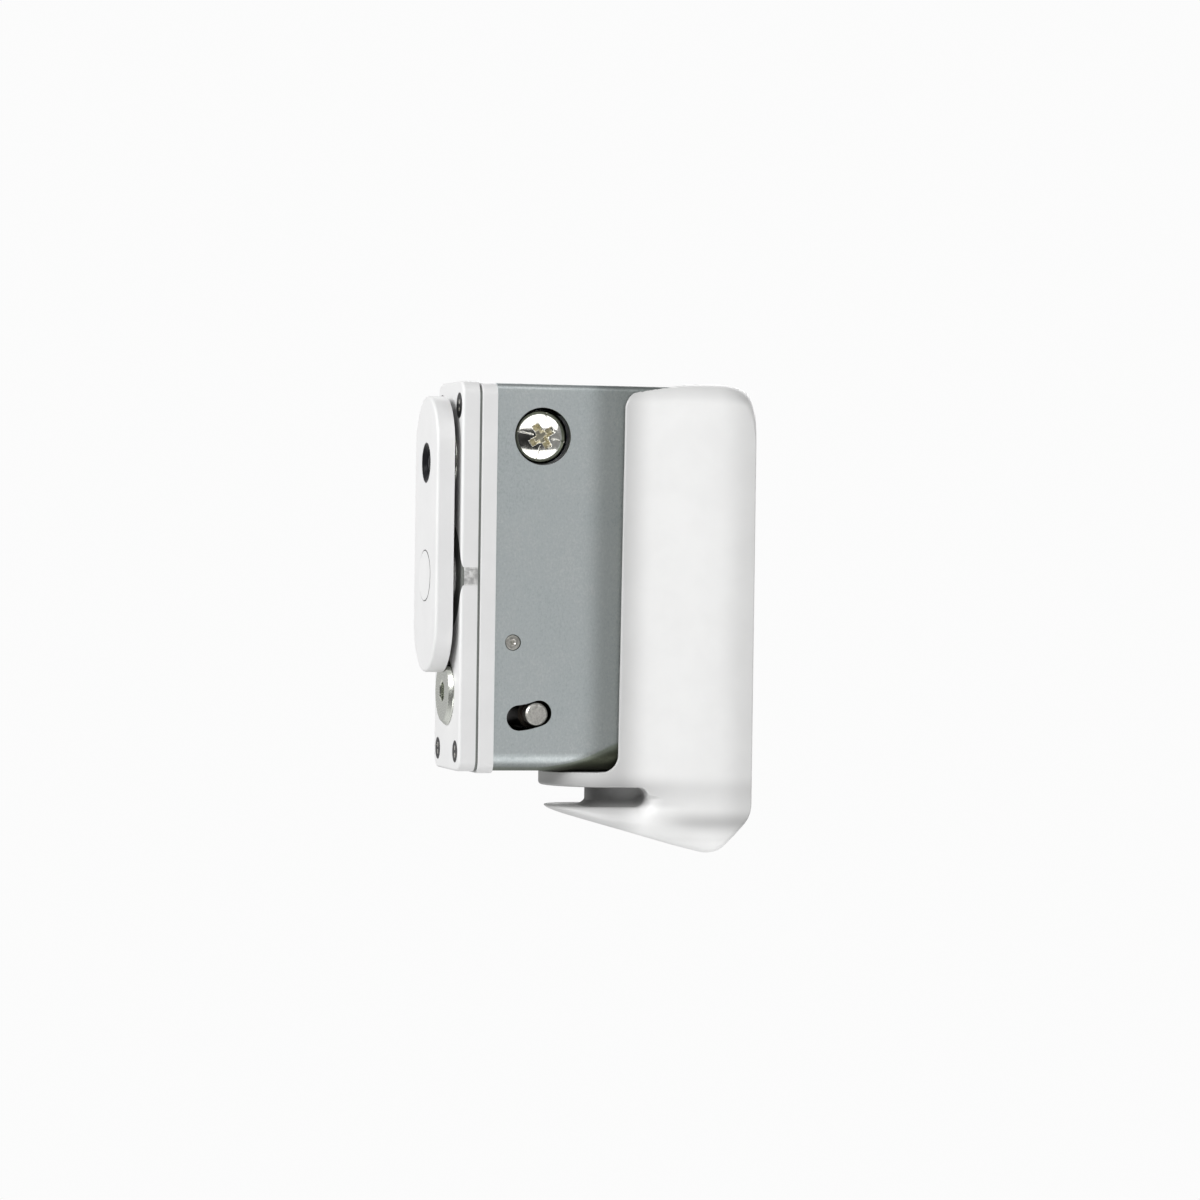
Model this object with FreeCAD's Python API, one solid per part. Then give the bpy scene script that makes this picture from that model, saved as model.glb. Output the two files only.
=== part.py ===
import FreeCAD, Part
import math
import os

# Video doorbell: a battery head unit held in a wall cradle.
# Millimetres. +Z is up, the bell's face looks along -Y, and the wall is the plane Y = 0.
# The origin is the centre of the cradle's wall face.

V = FreeCAD.Vector

# ---- driving dimensions -------------------------------------------------------------------
PLATE_Z = 7.4            # height of the front plates' centre above the origin
BOX_FRONT_Y = -65.8      # front rim of the steel housing
ADAPTER_DROP = 0.45      # the adapter plate hangs this much below the front plates
BOX_DROP = 0.15          # and the housing this much

FACE_W = 25.6            # the pill-shaped bell face
FACE_H = 69.4
FACE_T = 4.5
FACE_RISE = 10.45        # its centre above the plates' centre
FACE_SKIN = 1.4
FACE_RIM = 1.6
FACE_GAP = 1.6           # air gap between the bell face and the front plates
BACK_COVER_T = 1.1
BOARD_T = 0.4
LENS_RISE = 28.35
LENS_R = 5.1
BUTTON_R = 6.35
BUTTON_GAP = 0.18
BUTTON_TRAVEL = 0.5

PLATE_W = 28.1
PLATE_H = 97.4
PLATE_T = 4.35
PLATE_CORNER = 3.4
PLATE_EDGE = 0.7
NECK_R = 14.18           # cast neck boss; its bore is wider than the plate, so it parts the plate
NECK_FIT = 0.05
GASKET_T = 0.65
GASKET_INSET = 0.4
ADAPTER_T = 3.95
ADAPTER_H = 97.4

BOLT_RISE = 29.1         # the two low-head cap bolts, above and below the centre
BOLT_HEAD_R = 8.5
BOLT_HEAD_T = 1.35
BOLT_R = 3.0
SPANNER_X = 9.8
SPANNER_UP = 42.6
SPANNER_DOWN = 43.8
SPANNER_UP_R = 3.2
SPANNER_DOWN_R = 2.75
SPANNER_SHANK_R = 1.5

BOX_W = 27.6
BOX_H = 96.9
BOX_D = 48.0
BOX_WALL = 1.2
BOX_BEND = 4.5           # large bend along the two lower edges
BOX_TOP_BEND = 1.5
SIDE_HOLE_R = 7.2
SIDE_SCREW_Y = 11.7      # behind the housing's front rim, as are the next ones
SIDE_SCREW_Z = 35.2      # above the plates' centre, as are the next ones
SIDE_SCREW_R = 6.4
SIDE_SCREW_SEAT = 10.2   # distance of its seat from the middle plane
SIDE_SCREW_TURN = 33.0   # of its cross recess, in degrees
SIDE_NUT_T = 3.2
PIVOT_Y = 4.7
PIVOT_Z = -16.4
PIVOT_R = 2.0
LATCH_ARM = 18.95        # pivot pin to cross pin
LATCH_ANGLE = 19.5       # of the cross pin at rest, from straight down towards the wall
LATCH_TRAVEL = 14.0
LATCH_PIN_R = 2.8
SLOT_HALF = 3.2
PIN_END = 13.75

CRADLE_TOP = 49.15       # above the plates' centre
CRADLE_FLOOR = -48.8
CRADLE_LIP_T = 3.8
CRADLE_GAP_BOTTOM = -57.0
CRADLE_LOW = -69.3
CHEEK_FRONT_Y = 32.4
POCKET_HALF_W = 14.05
POCKET_BACK_Y = 48.3
NOSE_R = 15.0
NOSE_Y = 30.5
CRADLE_HALF_W = 19.3
WALL_Y = -BOX_FRONT_Y      # depth of the wall behind that rim
WALL_HOLE_R = 2.25
WALL_HOLE_PITCH = 60.0

# ---- stations worked out from them --------------------------------------------------------
ADAPTER_FRONT_Y = BOX_FRONT_Y - ADAPTER_T
GASKET_FRONT_Y = ADAPTER_FRONT_Y - GASKET_T
PLATE_FRONT_Y = GASKET_FRONT_Y - PLATE_T
FACE_BACK_Y = PLATE_FRONT_Y - FACE_GAP
FACE_FRONT_Y = FACE_BACK_Y - FACE_T
FACE_Z = PLATE_Z + FACE_RISE
ADAPTER_Z = PLATE_Z - ADAPTER_DROP
BOX_Z = PLATE_Z - BOX_DROP
BOX_REAR_Y = BOX_FRONT_Y + BOX_D
BOX_IN_X = BOX_W / 2 - BOX_WALL


# ---- helpers ------------------------------------------------------------------------------
def block(x0, x1, y0, y1, z0, z1):
    """A box between two corners."""
    return Part.makeBox(x1 - x0, y1 - y0, z1 - z0, V(x0, y0, z0))


def rod(radius, start, end):
    """A cylinder from one point to another."""
    path = V(*end) - V(*start)
    return Part.makeCylinder(radius, path.Length, V(*start), path)


def cone(r0, r1, start, end):
    """A cone frustum from one point to another."""
    path = V(*end) - V(*start)
    return Part.makeCone(r0, r1, path.Length, V(*start), path)


def rounded_plate(width, height, corner, y0, y1, z):
    """An upright plate with rounded corners, thick along Y."""
    w = width / 2 - corner
    h = height / 2 - corner
    k = corner * math.sqrt(0.5)
    a, b = width / 2, height / 2
    edges = [
        Part.makeLine(V(-w, y0, z + b), V(w, y0, z + b)),
        Part.Arc(V(w, y0, z + b), V(w + k, y0, z + h + k), V(a, y0, z + h)).toShape(),
        Part.makeLine(V(a, y0, z + h), V(a, y0, z - h)),
        Part.Arc(V(a, y0, z - h), V(w + k, y0, z - h - k), V(w, y0, z - b)).toShape(),
        Part.makeLine(V(w, y0, z - b), V(-w, y0, z - b)),
        Part.Arc(V(-w, y0, z - b), V(-w - k, y0, z - h - k), V(-a, y0, z - h)).toShape(),
        Part.makeLine(V(-a, y0, z - h), V(-a, y0, z + h)),
        Part.Arc(V(-a, y0, z + h), V(-w - k, y0, z + h + k), V(-w, y0, z + b)).toShape(),
    ]
    return Part.Face(Part.Wire(edges)).extrude(V(0, y1 - y0, 0))


def stadium(width, height, y0, y1, z):
    """An upright pill-shaped plate, thick along Y."""
    r = width / 2
    h = height / 2 - r
    edges = [
        Part.Arc(V(-r, y0, z + h), V(0, y0, z + h + r), V(r, y0, z + h)).toShape(),
        Part.makeLine(V(r, y0, z + h), V(r, y0, z - h)),
        Part.Arc(V(r, y0, z - h), V(0, y0, z - h - r), V(-r, y0, z - h)).toShape(),
        Part.makeLine(V(-r, y0, z - h), V(-r, y0, z + h)),
    ]
    return Part.Face(Part.Wire(edges)).extrude(V(0, y1 - y0, 0))


def edges_in_plane_y(shape, y, test=lambda edge: True):
    """The edges of a shape that lie in one plane of constant Y."""
    found = []
    for edge in shape.Edges:
        box = edge.BoundBox
        if abs(box.YMin - y) < 1e-4 and abs(box.YMax - y) < 1e-4 and test(edge):
            found.append(edge)
    return found


def side_prism(points, x0, x1):
    """Straight-sided outline in the (depth, height) plane, made solid from x0 to x1.

    Depth is measured back from the housing's front rim, height from the plates' centre.
    """
    corners = [V(x0, BOX_FRONT_Y + y, PLATE_Z + z) for y, z in points]
    return Part.Face(Part.makePolygon(corners + corners[:1])).extrude(V(x1 - x0, 0, 0))


def at(depth, height, x=0.0):
    """A point given by its depth behind the front rim and its height on the plates."""
    return (x, BOX_FRONT_Y + depth, PLATE_Z + height)


def mirrored(shape):
    """The same shape on the other side of the plane X = 0."""
    return shape.mirror(V(0, 0, 0), V(1, 0, 0))


# ---- bell face ----------------------------------------------------------------------------
def bell_face():
    shell = stadium(FACE_W, FACE_H, FACE_FRONT_Y, FACE_BACK_Y, FACE_Z)
    shell = shell.makeFillet(0.7, edges_in_plane_y(shell, FACE_FRONT_Y))
    inner = FACE_W - 2 * FACE_RIM
    hollow = stadium(inner, FACE_H - 2 * FACE_RIM, FACE_FRONT_Y + FACE_SKIN, FACE_BACK_Y, FACE_Z)
    lens = rod(LENS_R, (0, FACE_FRONT_Y - 1, PLATE_Z + LENS_RISE),
               (0, FACE_FRONT_Y + 2, PLATE_Z + LENS_RISE))
    button = rod(BUTTON_R + BUTTON_GAP, (0, FACE_FRONT_Y - 1, PLATE_Z),
                 (0, FACE_FRONT_Y + 2, PLATE_Z))
    return shell.cut(hollow).cut(lens).cut(button)


def bell_back_cover():
    inner = FACE_W - 2 * FACE_RIM - 0.1
    cover = stadium(inner, FACE_H - 2 * FACE_RIM - 0.1, FACE_BACK_Y - BACK_COVER_T,
                    FACE_BACK_Y, FACE_Z)
    return cover.cut(block(-4.2, 4.2, FACE_BACK_Y - 2, FACE_BACK_Y + 1, PLATE_Z - 0.9, PLATE_Z + 0.9))


def bell_board():
    y1 = FACE_BACK_Y - BACK_COVER_T
    return stadium(21.0, 62.0, y1 - BOARD_T, y1, FACE_Z)


def lens_window():
    z = PLATE_Z + LENS_RISE
    return rod(LENS_R - 0.05, (0, FACE_FRONT_Y + 0.6, z), (0, FACE_FRONT_Y + FACE_SKIN, z))


def camera_module():
    z = PLATE_Z + LENS_RISE
    y0 = FACE_FRONT_Y + FACE_SKIN
    y1 = FACE_BACK_Y - BACK_COVER_T - BOARD_T
    return block(-4.6, 4.6, y0, y1, z - 4.6, z + 4.6)


def microphone():
    y1 = FACE_BACK_Y - BACK_COVER_T - BOARD_T
    z = PLATE_Z - 18.0
    return block(-1.9, 1.9, y1 - 1.0, y1, z - 1.4, z + 1.4)


def button_cap():
    proud = 0.1
    skin = FACE_FRONT_Y + FACE_SKIN
    cap = rod(BUTTON_R, (0, FACE_FRONT_Y - proud, PLATE_Z), (0, skin + 0.35, PLATE_Z))
    cap = cap.makeFillet(0.25, edges_in_plane_y(cap, FACE_FRONT_Y - proud))
    flange = rod(BUTTON_R + 0.7, (0, skin + 0.05, PLATE_Z), (0, skin + 0.35, PLATE_Z))
    nub = rod(1.5, (0, skin + 0.3, PLATE_Z), (0, skin + 0.6, PLATE_Z))
    return cap.fuse(flange).fuse(nub).removeSplitter()


def switch_dome():
    y1 = FACE_BACK_Y - BACK_COVER_T - BOARD_T
    ball_r = 20.0
    rise = 0.35
    ball = Part.makeSphere(ball_r, V(0, y1 - rise + ball_r, PLATE_Z))
    return ball.common(rod(4.0, (0, y1 - 1, PLATE_Z), (0, y1, PLATE_Z)))


# ---- neck and front plates ----------------------------------------------------------------
def neck_boss():
    recess = 0.9
    front = PLATE_FRONT_Y + recess
    disc = rod(NECK_R, (0, front, PLATE_Z), (0, GASKET_FRONT_Y, PLATE_Z))
    sides = block(-PLATE_W / 2, PLATE_W / 2, front - 1, GASKET_FRONT_Y + 1,
                  PLATE_Z - 20, PLATE_Z + 20)
    disc = disc.common(sides)
    stem = rod(7.0, (0, FACE_BACK_Y, PLATE_Z), (0, front, PLATE_Z))
    spigot = rod(9.0, (0, GASKET_FRONT_Y, PLATE_Z), (0, BOX_FRONT_Y, PLATE_Z))
    bore = rod(5.0, (0, FACE_BACK_Y - 1, PLATE_Z), (0, BOX_FRONT_Y + 1, PLATE_Z))
    return disc.fuse(stem).fuse(spigot).removeSplitter().cut(bore)


def neck_seal():
    y1 = PLATE_FRONT_Y + 0.9
    ring = rod(NECK_R - 0.5, (0, y1 - 0.5, PLATE_Z), (0, y1, PLATE_Z))
    return ring.cut(rod(7.1, (0, y1 - 1, PLATE_Z), (0, y1 + 1, PLATE_Z)))


def spanner_places():
    upper = [(side * SPANNER_X, PLATE_Z + SPANNER_UP) for side in (-1, 1)]
    lower = [(side * SPANNER_X, PLATE_Z - SPANNER_DOWN) for side in (-1, 1)]
    return upper, lower


def countersink(x, z, head_r, grow):
    """The space a flat-head screw fills below the plates' front face."""
    y = PLATE_FRONT_Y
    head = cone(head_r + grow, SPANNER_SHANK_R + grow, (x, y, z), (x, y + 1.9, z))
    return head.fuse(rod(SPANNER_SHANK_R + grow, (x, y, z), (x, y + 8.6, z)))


def full_front_plate():
    plate = rounded_plate(PLATE_W, PLATE_H, PLATE_CORNER, PLATE_FRONT_Y, GASKET_FRONT_Y, PLATE_Z)
    plate = plate.makeFillet(PLATE_EDGE, edges_in_plane_y(plate, PLATE_FRONT_Y))
    plate = plate.cut(rod(NECK_R + NECK_FIT, (0, PLATE_FRONT_Y - 1, PLATE_Z),
                          (0, GASKET_FRONT_Y + 1, PLATE_Z)))
    for rise in (-BOLT_RISE, BOLT_RISE):
        z = PLATE_Z + rise
        plate = plate.cut(rod(BOLT_R + 0.2, (0, PLATE_FRONT_Y - 1, z), (0, GASKET_FRONT_Y + 1, z)))
    upper, lower = spanner_places()
    for places, head_r in ((upper, SPANNER_UP_R), (lower, SPANNER_DOWN_R)):
        for x, z in places:
            plate = plate.cut(countersink(x, z, head_r, 0.06))
    return plate


def front_plate(part):
    """One of the two front plates that the neck's bore leaves: upper (1) or lower (-1)."""
    reach = PLATE_Z + part * 60
    z0, z1 = sorted((PLATE_Z, reach))
    half = full_front_plate().common(block(-20, 20, PLATE_FRONT_Y - 1, GASKET_FRONT_Y + 1, z0, z1))
    return half.Solids[0]


def spanner_screws(places, head_r):
    """Flat-head security screws with two round driver holes."""
    screws = []
    for x, z in places:
        screw = countersink(x, z, head_r, 0.0)
        for step in (-0.9, 0.9):
            hole = rod(0.45, (x, PLATE_FRONT_Y - 1, z + step), (x, PLATE_FRONT_Y + 0.9, z + step))
            screw = screw.cut(hole)
        screws.append(screw)
    return Part.makeCompound(screws)


def cap_bolt(z, length):
    """Low wide-headed connector bolt with a bevelled rim and a hexagon socket."""
    y = PLATE_FRONT_Y
    bevel = 0.75
    rim = BOLT_HEAD_T - bevel
    head = rod(BOLT_HEAD_R, (0, y - rim, z), (0, y, z))
    head = head.fuse(cone(BOLT_HEAD_R, BOLT_HEAD_R - bevel, (0, y - rim, z),
                          (0, y - BOLT_HEAD_T, z)))
    shank = rod(BOLT_R, (0, y, z), (0, y + length, z))
    across = 5.0 / math.sqrt(3)
    corners = []
    for k in range(7):
        a = math.radians(60 * k)
        corners.append(V(across * math.sin(a), y - BOLT_HEAD_T - 1, z + across * math.cos(a)))
    socket = Part.Face(Part.makePolygon(corners)).extrude(V(0, 4.2, 0))
    return head.fuse(shank).removeSplitter().cut(socket)


def cap_bolts():
    through = PLATE_T + GASKET_T + ADAPTER_T
    upper = cap_bolt(PLATE_Z + BOLT_RISE, through + 9.0)
    lower = cap_bolt(PLATE_Z - BOLT_RISE, through + 2.6)
    return Part.makeCompound([upper, lower])


def plate_gasket():
    sheet = rounded_plate(PLATE_W - 2 * GASKET_INSET, ADAPTER_H - 2 * GASKET_INSET, 3.0,
                          GASKET_FRONT_Y, ADAPTER_FRONT_Y, ADAPTER_Z)
    sheet = sheet.cut(rod(9.1, (0, GASKET_FRONT_Y - 1, PLATE_Z), (0, BOX_FRONT_Y, PLATE_Z)))
    return cut_plate_holes(sheet, BOLT_R + 0.2, SPANNER_SHANK_R + 0.1)


def cut_plate_holes(plate, bolt_r, spanner_r):
    """Cuts the cap bolts' and spanner screws' holes in a sheet behind the front plates."""
    y0 = GASKET_FRONT_Y - 1
    y1 = BOX_FRONT_Y + 1
    for rise in (-BOLT_RISE, BOLT_RISE):
        plate = plate.cut(rod(bolt_r, (0, y0, PLATE_Z + rise), (0, y1, PLATE_Z + rise)))
    upper, lower = spanner_places()
    for x, z in upper + lower:
        plate = plate.cut(rod(spanner_r, (x, y0, z), (x, y1, z)))
    return plate


def adapter_plate():
    plate = rounded_plate(PLATE_W, ADAPTER_H, 3.0, ADAPTER_FRONT_Y, BOX_FRONT_Y, ADAPTER_Z)
    plate = plate.makeFillet(0.35, edges_in_plane_y(plate, ADAPTER_FRONT_Y))
    plate = plate.cut(rod(9.1, (0, ADAPTER_FRONT_Y - 1, PLATE_Z), (0, BOX_FRONT_Y + 1, PLATE_Z)))
    plate = cut_plate_holes(plate, BOLT_R + 0.05, SPANNER_SHANK_R + 0.05)
    for z in adapter_screw_heights():
        plate = plate.cut(adapter_screw(z, 0.05))
    return plate


def adapter_screw_heights():
    return [BOX_Z - 44.6, BOX_Z + 44.6]


def adapter_screw(z, grow):
    y = ADAPTER_FRONT_Y
    head = cone(2.9 + grow, 1.5 + grow, (0, y, z), (0, y + 1.8, z))
    return head.fuse(rod(1.5 + grow, (0, y, z), (0, BOX_FRONT_Y + BOX_WALL, z)))


def adapter_screws():
    return Part.makeCompound([adapter_screw(z, 0.0) for z in adapter_screw_heights()])


# ---- steel housing ------------------------------------------------------------------------
def bent_box(inset, y0, y1):
    """The housing's outline, shrunk by inset, from y0 to y1."""
    w = BOX_W / 2 - inset
    h = BOX_H / 2 - inset
    low = BOX_BEND - inset
    high = max(BOX_TOP_BEND - inset, 0.3)
    kl = low * (1 - math.sqrt(0.5))
    kh = high * (1 - math.sqrt(0.5))
    z = BOX_Z
    edges = [
        Part.makeLine(V(-w + high, y0, z + h), V(w - high, y0, z + h)),
        Part.Arc(V(w - high, y0, z + h), V(w - kh, y0, z + h - kh),
                 V(w, y0, z + h - high)).toShape(),
        Part.makeLine(V(w, y0, z + h - high), V(w, y0, z - h + low)),
        Part.Arc(V(w, y0, z - h + low), V(w - kl, y0, z - h + kl),
                 V(w - low, y0, z - h)).toShape(),
        Part.makeLine(V(w - low, y0, z - h), V(-w + low, y0, z - h)),
        Part.Arc(V(-w + low, y0, z - h), V(-w + kl, y0, z - h + kl),
                 V(-w, y0, z - h + low)).toShape(),
        Part.makeLine(V(-w, y0, z - h + low), V(-w, y0, z + h - high)),
        Part.Arc(V(-w, y0, z + h - high), V(-w + kh, y0, z + h - kh),
                 V(-w + high, y0, z + h)).toShape(),
    ]
    return Part.Face(Part.Wire(edges)).extrude(V(0, y1 - y0, 0))


def latch_slot():
    """The curved slot about the pivot in which the cross pin travels, through both walls."""
    pivot = V(*at(PIVOT_Y, PIVOT_Z, -20))
    ends = [LATCH_ANGLE - LATCH_TRAVEL, LATCH_ANGLE + 2.0]

    def point(radius, degrees):
        a = math.radians(degrees)
        return pivot + V(0, radius * math.sin(a), -radius * math.cos(a))

    low, high = ends
    middle = (low + high) / 2
    outer, inner = LATCH_ARM + SLOT_HALF, LATCH_ARM - SLOT_HALF
    tip = math.degrees(SLOT_HALF / LATCH_ARM)
    edges = [
        Part.Arc(point(outer, low), point(outer, middle), point(outer, high)).toShape(),
        Part.Arc(point(outer, high), point(LATCH_ARM, high + tip), point(inner, high)).toShape(),
        Part.Arc(point(inner, high), point(inner, middle), point(inner, low)).toShape(),
        Part.Arc(point(inner, low), point(LATCH_ARM, low - tip), point(outer, low)).toShape(),
    ]
    return Part.Face(Part.Wire(edges)).extrude(V(40, 0, 0))


def sound_holes():
    """Small speaker holes through the left wall, in rings round one centre."""
    holes = []
    for count, radius in ((1, 0.0), (6, 3.2), (12, 6.4)):
        for k in range(count):
            a = 2 * math.pi * k / count
            y, z = 34.0 + radius * math.cos(a), -30.0 + radius * math.sin(a)
            holes.append(rod(0.75, at(y, z, -15), at(y, z, -11)))
    return Part.makeCompound(holes)


def housing():
    box = bent_box(0.0, BOX_FRONT_Y, BOX_REAR_Y)
    inside = bent_box(BOX_WALL, BOX_FRONT_Y + BOX_WALL, BOX_REAR_Y - BOX_WALL)
    mouth = block(-BOX_IN_X, BOX_IN_X, BOX_FRONT_Y - 1, BOX_FRONT_Y + 2, BOX_Z - 41, BOX_Z + 41)
    box = box.cut(inside).cut(mouth)
    box = box.cut(rod(SIDE_HOLE_R, at(SIDE_SCREW_Y, SIDE_SCREW_Z, 11),
                      at(SIDE_SCREW_Y, SIDE_SCREW_Z, 15)))
    box = box.cut(rod(PIVOT_R + 0.02, at(PIVOT_Y, PIVOT_Z, -20), at(PIVOT_Y, PIVOT_Z, 20)))
    box = box.cut(latch_slot()).cut(sound_holes())
    for z in adapter_screw_heights():
        box = box.cut(rod(1.53, (0, BOX_FRONT_Y - 1, z), (0, BOX_FRONT_Y + 3, z)))
    box = box.cut(side_prism([(20.2, -52), (20.2, -45), (29.0, -45), (29.0, -52)], -5.0, 5.0))
    return box.cut(side_prism([(45, 22.0), (45, 28.6), (50, 28.6), (50, 22.0)], -6.5, 6.5))


def chassis():
    """Aluminium carrier: a front web with a deep threaded boss, and a cheek for the side screw."""
    front = BOX_FRONT_Y + BOX_WALL + 0.1
    web = side_prism([(1.3, 16.5), (1.3, 40.5), (3.3, 40.5), (3.3, 16.5)], -11.4, 11.4)
    seat = SIDE_SCREW_SEAT
    cheek = side_prism([(3.3, 27.5), (3.3, 40.5), (19.5, 40.5), (19.5, 27.5)], seat - 2.0, seat)
    boss_z = PLATE_Z + BOLT_RISE
    boss = rod(4.8, (0, front, boss_z), (0, BOX_FRONT_Y + 9.5, boss_z))
    body = web.fuse(cheek).fuse(boss).removeSplitter()
    body = body.cut(rod(BOLT_R + 0.03, (0, front - 1, boss_z), (0, BOX_FRONT_Y + 12, boss_z)))
    return body.cut(rod(3.2, at(SIDE_SCREW_Y, SIDE_SCREW_Z, seat - 3),
                        at(SIDE_SCREW_Y, SIDE_SCREW_Z, seat + 1)))


def side_screw():
    """Domed pan-head screw with a cross recess, sunk a little below the housing's wall."""
    base = SIDE_SCREW_SEAT
    rim = 1.0
    dome = 1.9
    top = base + rim + dome
    tip = base - 5.6
    ball_r = (SIDE_SCREW_R ** 2 + dome ** 2) / (2 * dome)
    head = rod(SIDE_SCREW_R, at(SIDE_SCREW_Y, SIDE_SCREW_Z, base),
               at(SIDE_SCREW_Y, SIDE_SCREW_Z, top))
    head = head.common(Part.makeSphere(ball_r, V(*at(SIDE_SCREW_Y, SIDE_SCREW_Z, top - ball_r))))
    shank = rod(3.0, at(SIDE_SCREW_Y, SIDE_SCREW_Z, tip), at(SIDE_SCREW_Y, SIDE_SCREW_Z, base))
    screw = head.fuse(shank).removeSplitter()
    centre = V(*at(SIDE_SCREW_Y, SIDE_SCREW_Z, 0))
    reach, half, depth = 3.55, 0.75, 2.0
    for turn in (0, 90):
        arm = block(top - depth, top + 1, centre.y - reach, centre.y + reach,
                    centre.z - half, centre.z + half)
        arm.rotate(centre, V(1, 0, 0), SIDE_SCREW_TURN + turn)
        screw = screw.cut(arm)
    return screw


def clamp_nut():
    outer = SIDE_SCREW_SEAT - 2.0
    nut = block(outer - SIDE_NUT_T, outer, -5, 5, -5, 5)
    nut.translate(V(*at(SIDE_SCREW_Y, SIDE_SCREW_Z)))
    return nut.cut(rod(3.03, at(SIDE_SCREW_Y, SIDE_SCREW_Z, outer - SIDE_NUT_T - 1),
                       at(SIDE_SCREW_Y, SIDE_SCREW_Z, outer + 1)))


def weld_nut():
    """Round nut behind the adapter plate for the lower cap bolt."""
    z = PLATE_Z - BOLT_RISE
    nut = rod(4.0, (0, BOX_FRONT_Y, z), (0, BOX_FRONT_Y + 2.8, z))
    return nut.cut(rod(BOLT_R + 0.03, (0, BOX_FRONT_Y - 1, z), (0, BOX_FRONT_Y + 4, z)))


# ---- latch --------------------------------------------------------------------------------
def pin_place():
    a = math.radians(LATCH_ANGLE)
    return PIVOT_Y + LATCH_ARM * math.sin(a), PIVOT_Z - LATCH_ARM * math.cos(a)


def pivot_pin():
    pin = rod(PIVOT_R, at(PIVOT_Y, PIVOT_Z, -PIN_END), at(PIVOT_Y, PIVOT_Z, PIN_END))
    ends = [e for e in pin.Edges if e.BoundBox.XLength < 1e-4]
    return pin.makeChamfer(0.25, ends)


def cross_pin():
    y, z = pin_place()
    pin = rod(LATCH_PIN_R, at(y, z, -PIN_END - 0.25), at(y, z, PIN_END + 0.25))
    ends = [e for e in pin.Edges if e.BoundBox.XLength < 1e-4]
    return pin.makeChamfer(0.4, ends)


def latch_lever():
    """Two side arms on the pivot, a bridge round the cross pin, and a hook towards the wall."""
    y, z = pin_place()
    across = V(0, y - PIVOT_Y, z - PIVOT_Z)
    across.normalize()
    side = V(0, across.z, -across.y) * 2.6
    pivot = V(*at(PIVOT_Y, PIVOT_Z, 7.0))
    pin = V(*at(y, z, 7.0))
    corners = [pivot + side, pin + side, pin - side, pivot - side]
    arm = Part.Face(Part.makePolygon(corners + corners[:1])).extrude(V(2.5, 0, 0))
    arm = arm.fuse(rod(3.8, at(PIVOT_Y, PIVOT_Z, 7.0), at(PIVOT_Y, PIVOT_Z, 9.5)))
    lever = arm.fuse(mirrored(arm))
    lever = lever.fuse(rod(3.8, at(y, z, -9.5), at(y, z, 9.5)))
    hook = side_prism([(12.6, -31.6), (19.9, -37.8), (23.3, -37.8), (23.3, -40.3),
                       (17.0, -41.2), (9.6, -37.9)], -4.0, 4.0)
    lever = lever.fuse(hook).removeSplitter()
    lever = lever.cut(rod(PIVOT_R + 0.05, at(PIVOT_Y, PIVOT_Z, -20), at(PIVOT_Y, PIVOT_Z, 20)))
    return lever.cut(rod(LATCH_PIN_R + 0.02, at(y, z, -20), at(y, z, 20)))


def latch_spring():
    """Torsion spring beside one arm: half turns round the pivot pin between two straight legs."""
    wire = 0.4
    radius = PIVOT_R + 0.9
    pitch = 0.88
    half_turns = 8
    leg = 5.5
    start_x = -6.55

    def place(k):
        side = 1 - 2 * (k % 2)
        return V(*at(PIVOT_Y + side * radius, PIVOT_Z, start_x + k * pitch / 2)), side

    first, last = place(0)[0], place(half_turns)[0]
    up = V(0, 0, leg)
    spring = Part.makeCylinder(wire, leg, first - up, up)
    spring = spring.fuse(Part.makeCylinder(wire, leg, last, up))
    for k in range(half_turns):
        start, side = place(k)
        end = place(k + 1)[0]
        middle = (start + end) / 2
        axis = (start - middle).cross(V(0, 0, side))
        disc = Part.Face(Part.Wire([Part.makeCircle(wire, start, V(0, 0, 1))]))
        spring = spring.fuse(disc.revolve(middle, axis, 180))
    return spring


def keeper():
    """Steel keeper: a base plate on the cradle's tongue and a post with an overhang."""
    base = side_prism([(18.6, CRADLE_FLOOR - 1.5), (18.6, CRADLE_FLOOR),
                       (37.4, CRADLE_FLOOR), (37.4, CRADLE_FLOOR - 1.5)], -6.0, 6.0)
    post = side_prism([(25.0, CRADLE_FLOOR), (25.0, -37.5), (20.8, -37.5), (20.8, -34.8),
                       (28.0, -34.8), (28.0, CRADLE_FLOOR)], -4.0, 4.0)
    body = base.fuse(post).removeSplitter()
    for depth in keeper_screw_depths():
        body = body.cut(keeper_screw(depth, 0.04))
    return body


def keeper_screw_depths():
    return [21.6, 34.0]


def keeper_screw(depth, grow):
    top = CRADLE_FLOOR
    head = cone(2.6 + grow, 1.25 + grow, at(depth, top), at(depth, top - 1.4))
    return head.fuse(rod(1.25 + grow, at(depth, top), at(depth, top - 3.3)))


def keeper_screws():
    return Part.makeCompound([keeper_screw(depth, 0.0) for depth in keeper_screw_depths()])


# ---- electronics --------------------------------------------------------------------------
def main_board():
    return side_prism([(12.5, -8), (12.5, 42), (45.5, 42), (45.5, -8)], -11.2, -9.8)


def board_modules():
    """Shielded radio, processor and power parts on the main board."""
    parts = []
    for y0, y1, z0, z1, high in ((15, 27, 26, 40, 1.8), (16, 26, 10, 20, 1.4),
                                 (30, 41, 28, 39, 1.2), (23, 27, -4, 2, 1.6),
                                 (29, 42, -5, 3, 1.6)):
        parts.append(side_prism([(y0, z0), (y0, z1), (y1, z1), (y1, z0)], -9.8, -9.8 + high))
    return Part.makeCompound(parts)


def battery():
    cell = side_prism([(19.5, -8), (19.5, 43), (43.5, 43), (43.5, -8)], -6.6, 8.6)
    long_edges = [e for e in cell.Edges if e.BoundBox.ZLength > 40]
    return cell.makeFillet(2.0, long_edges)


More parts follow.
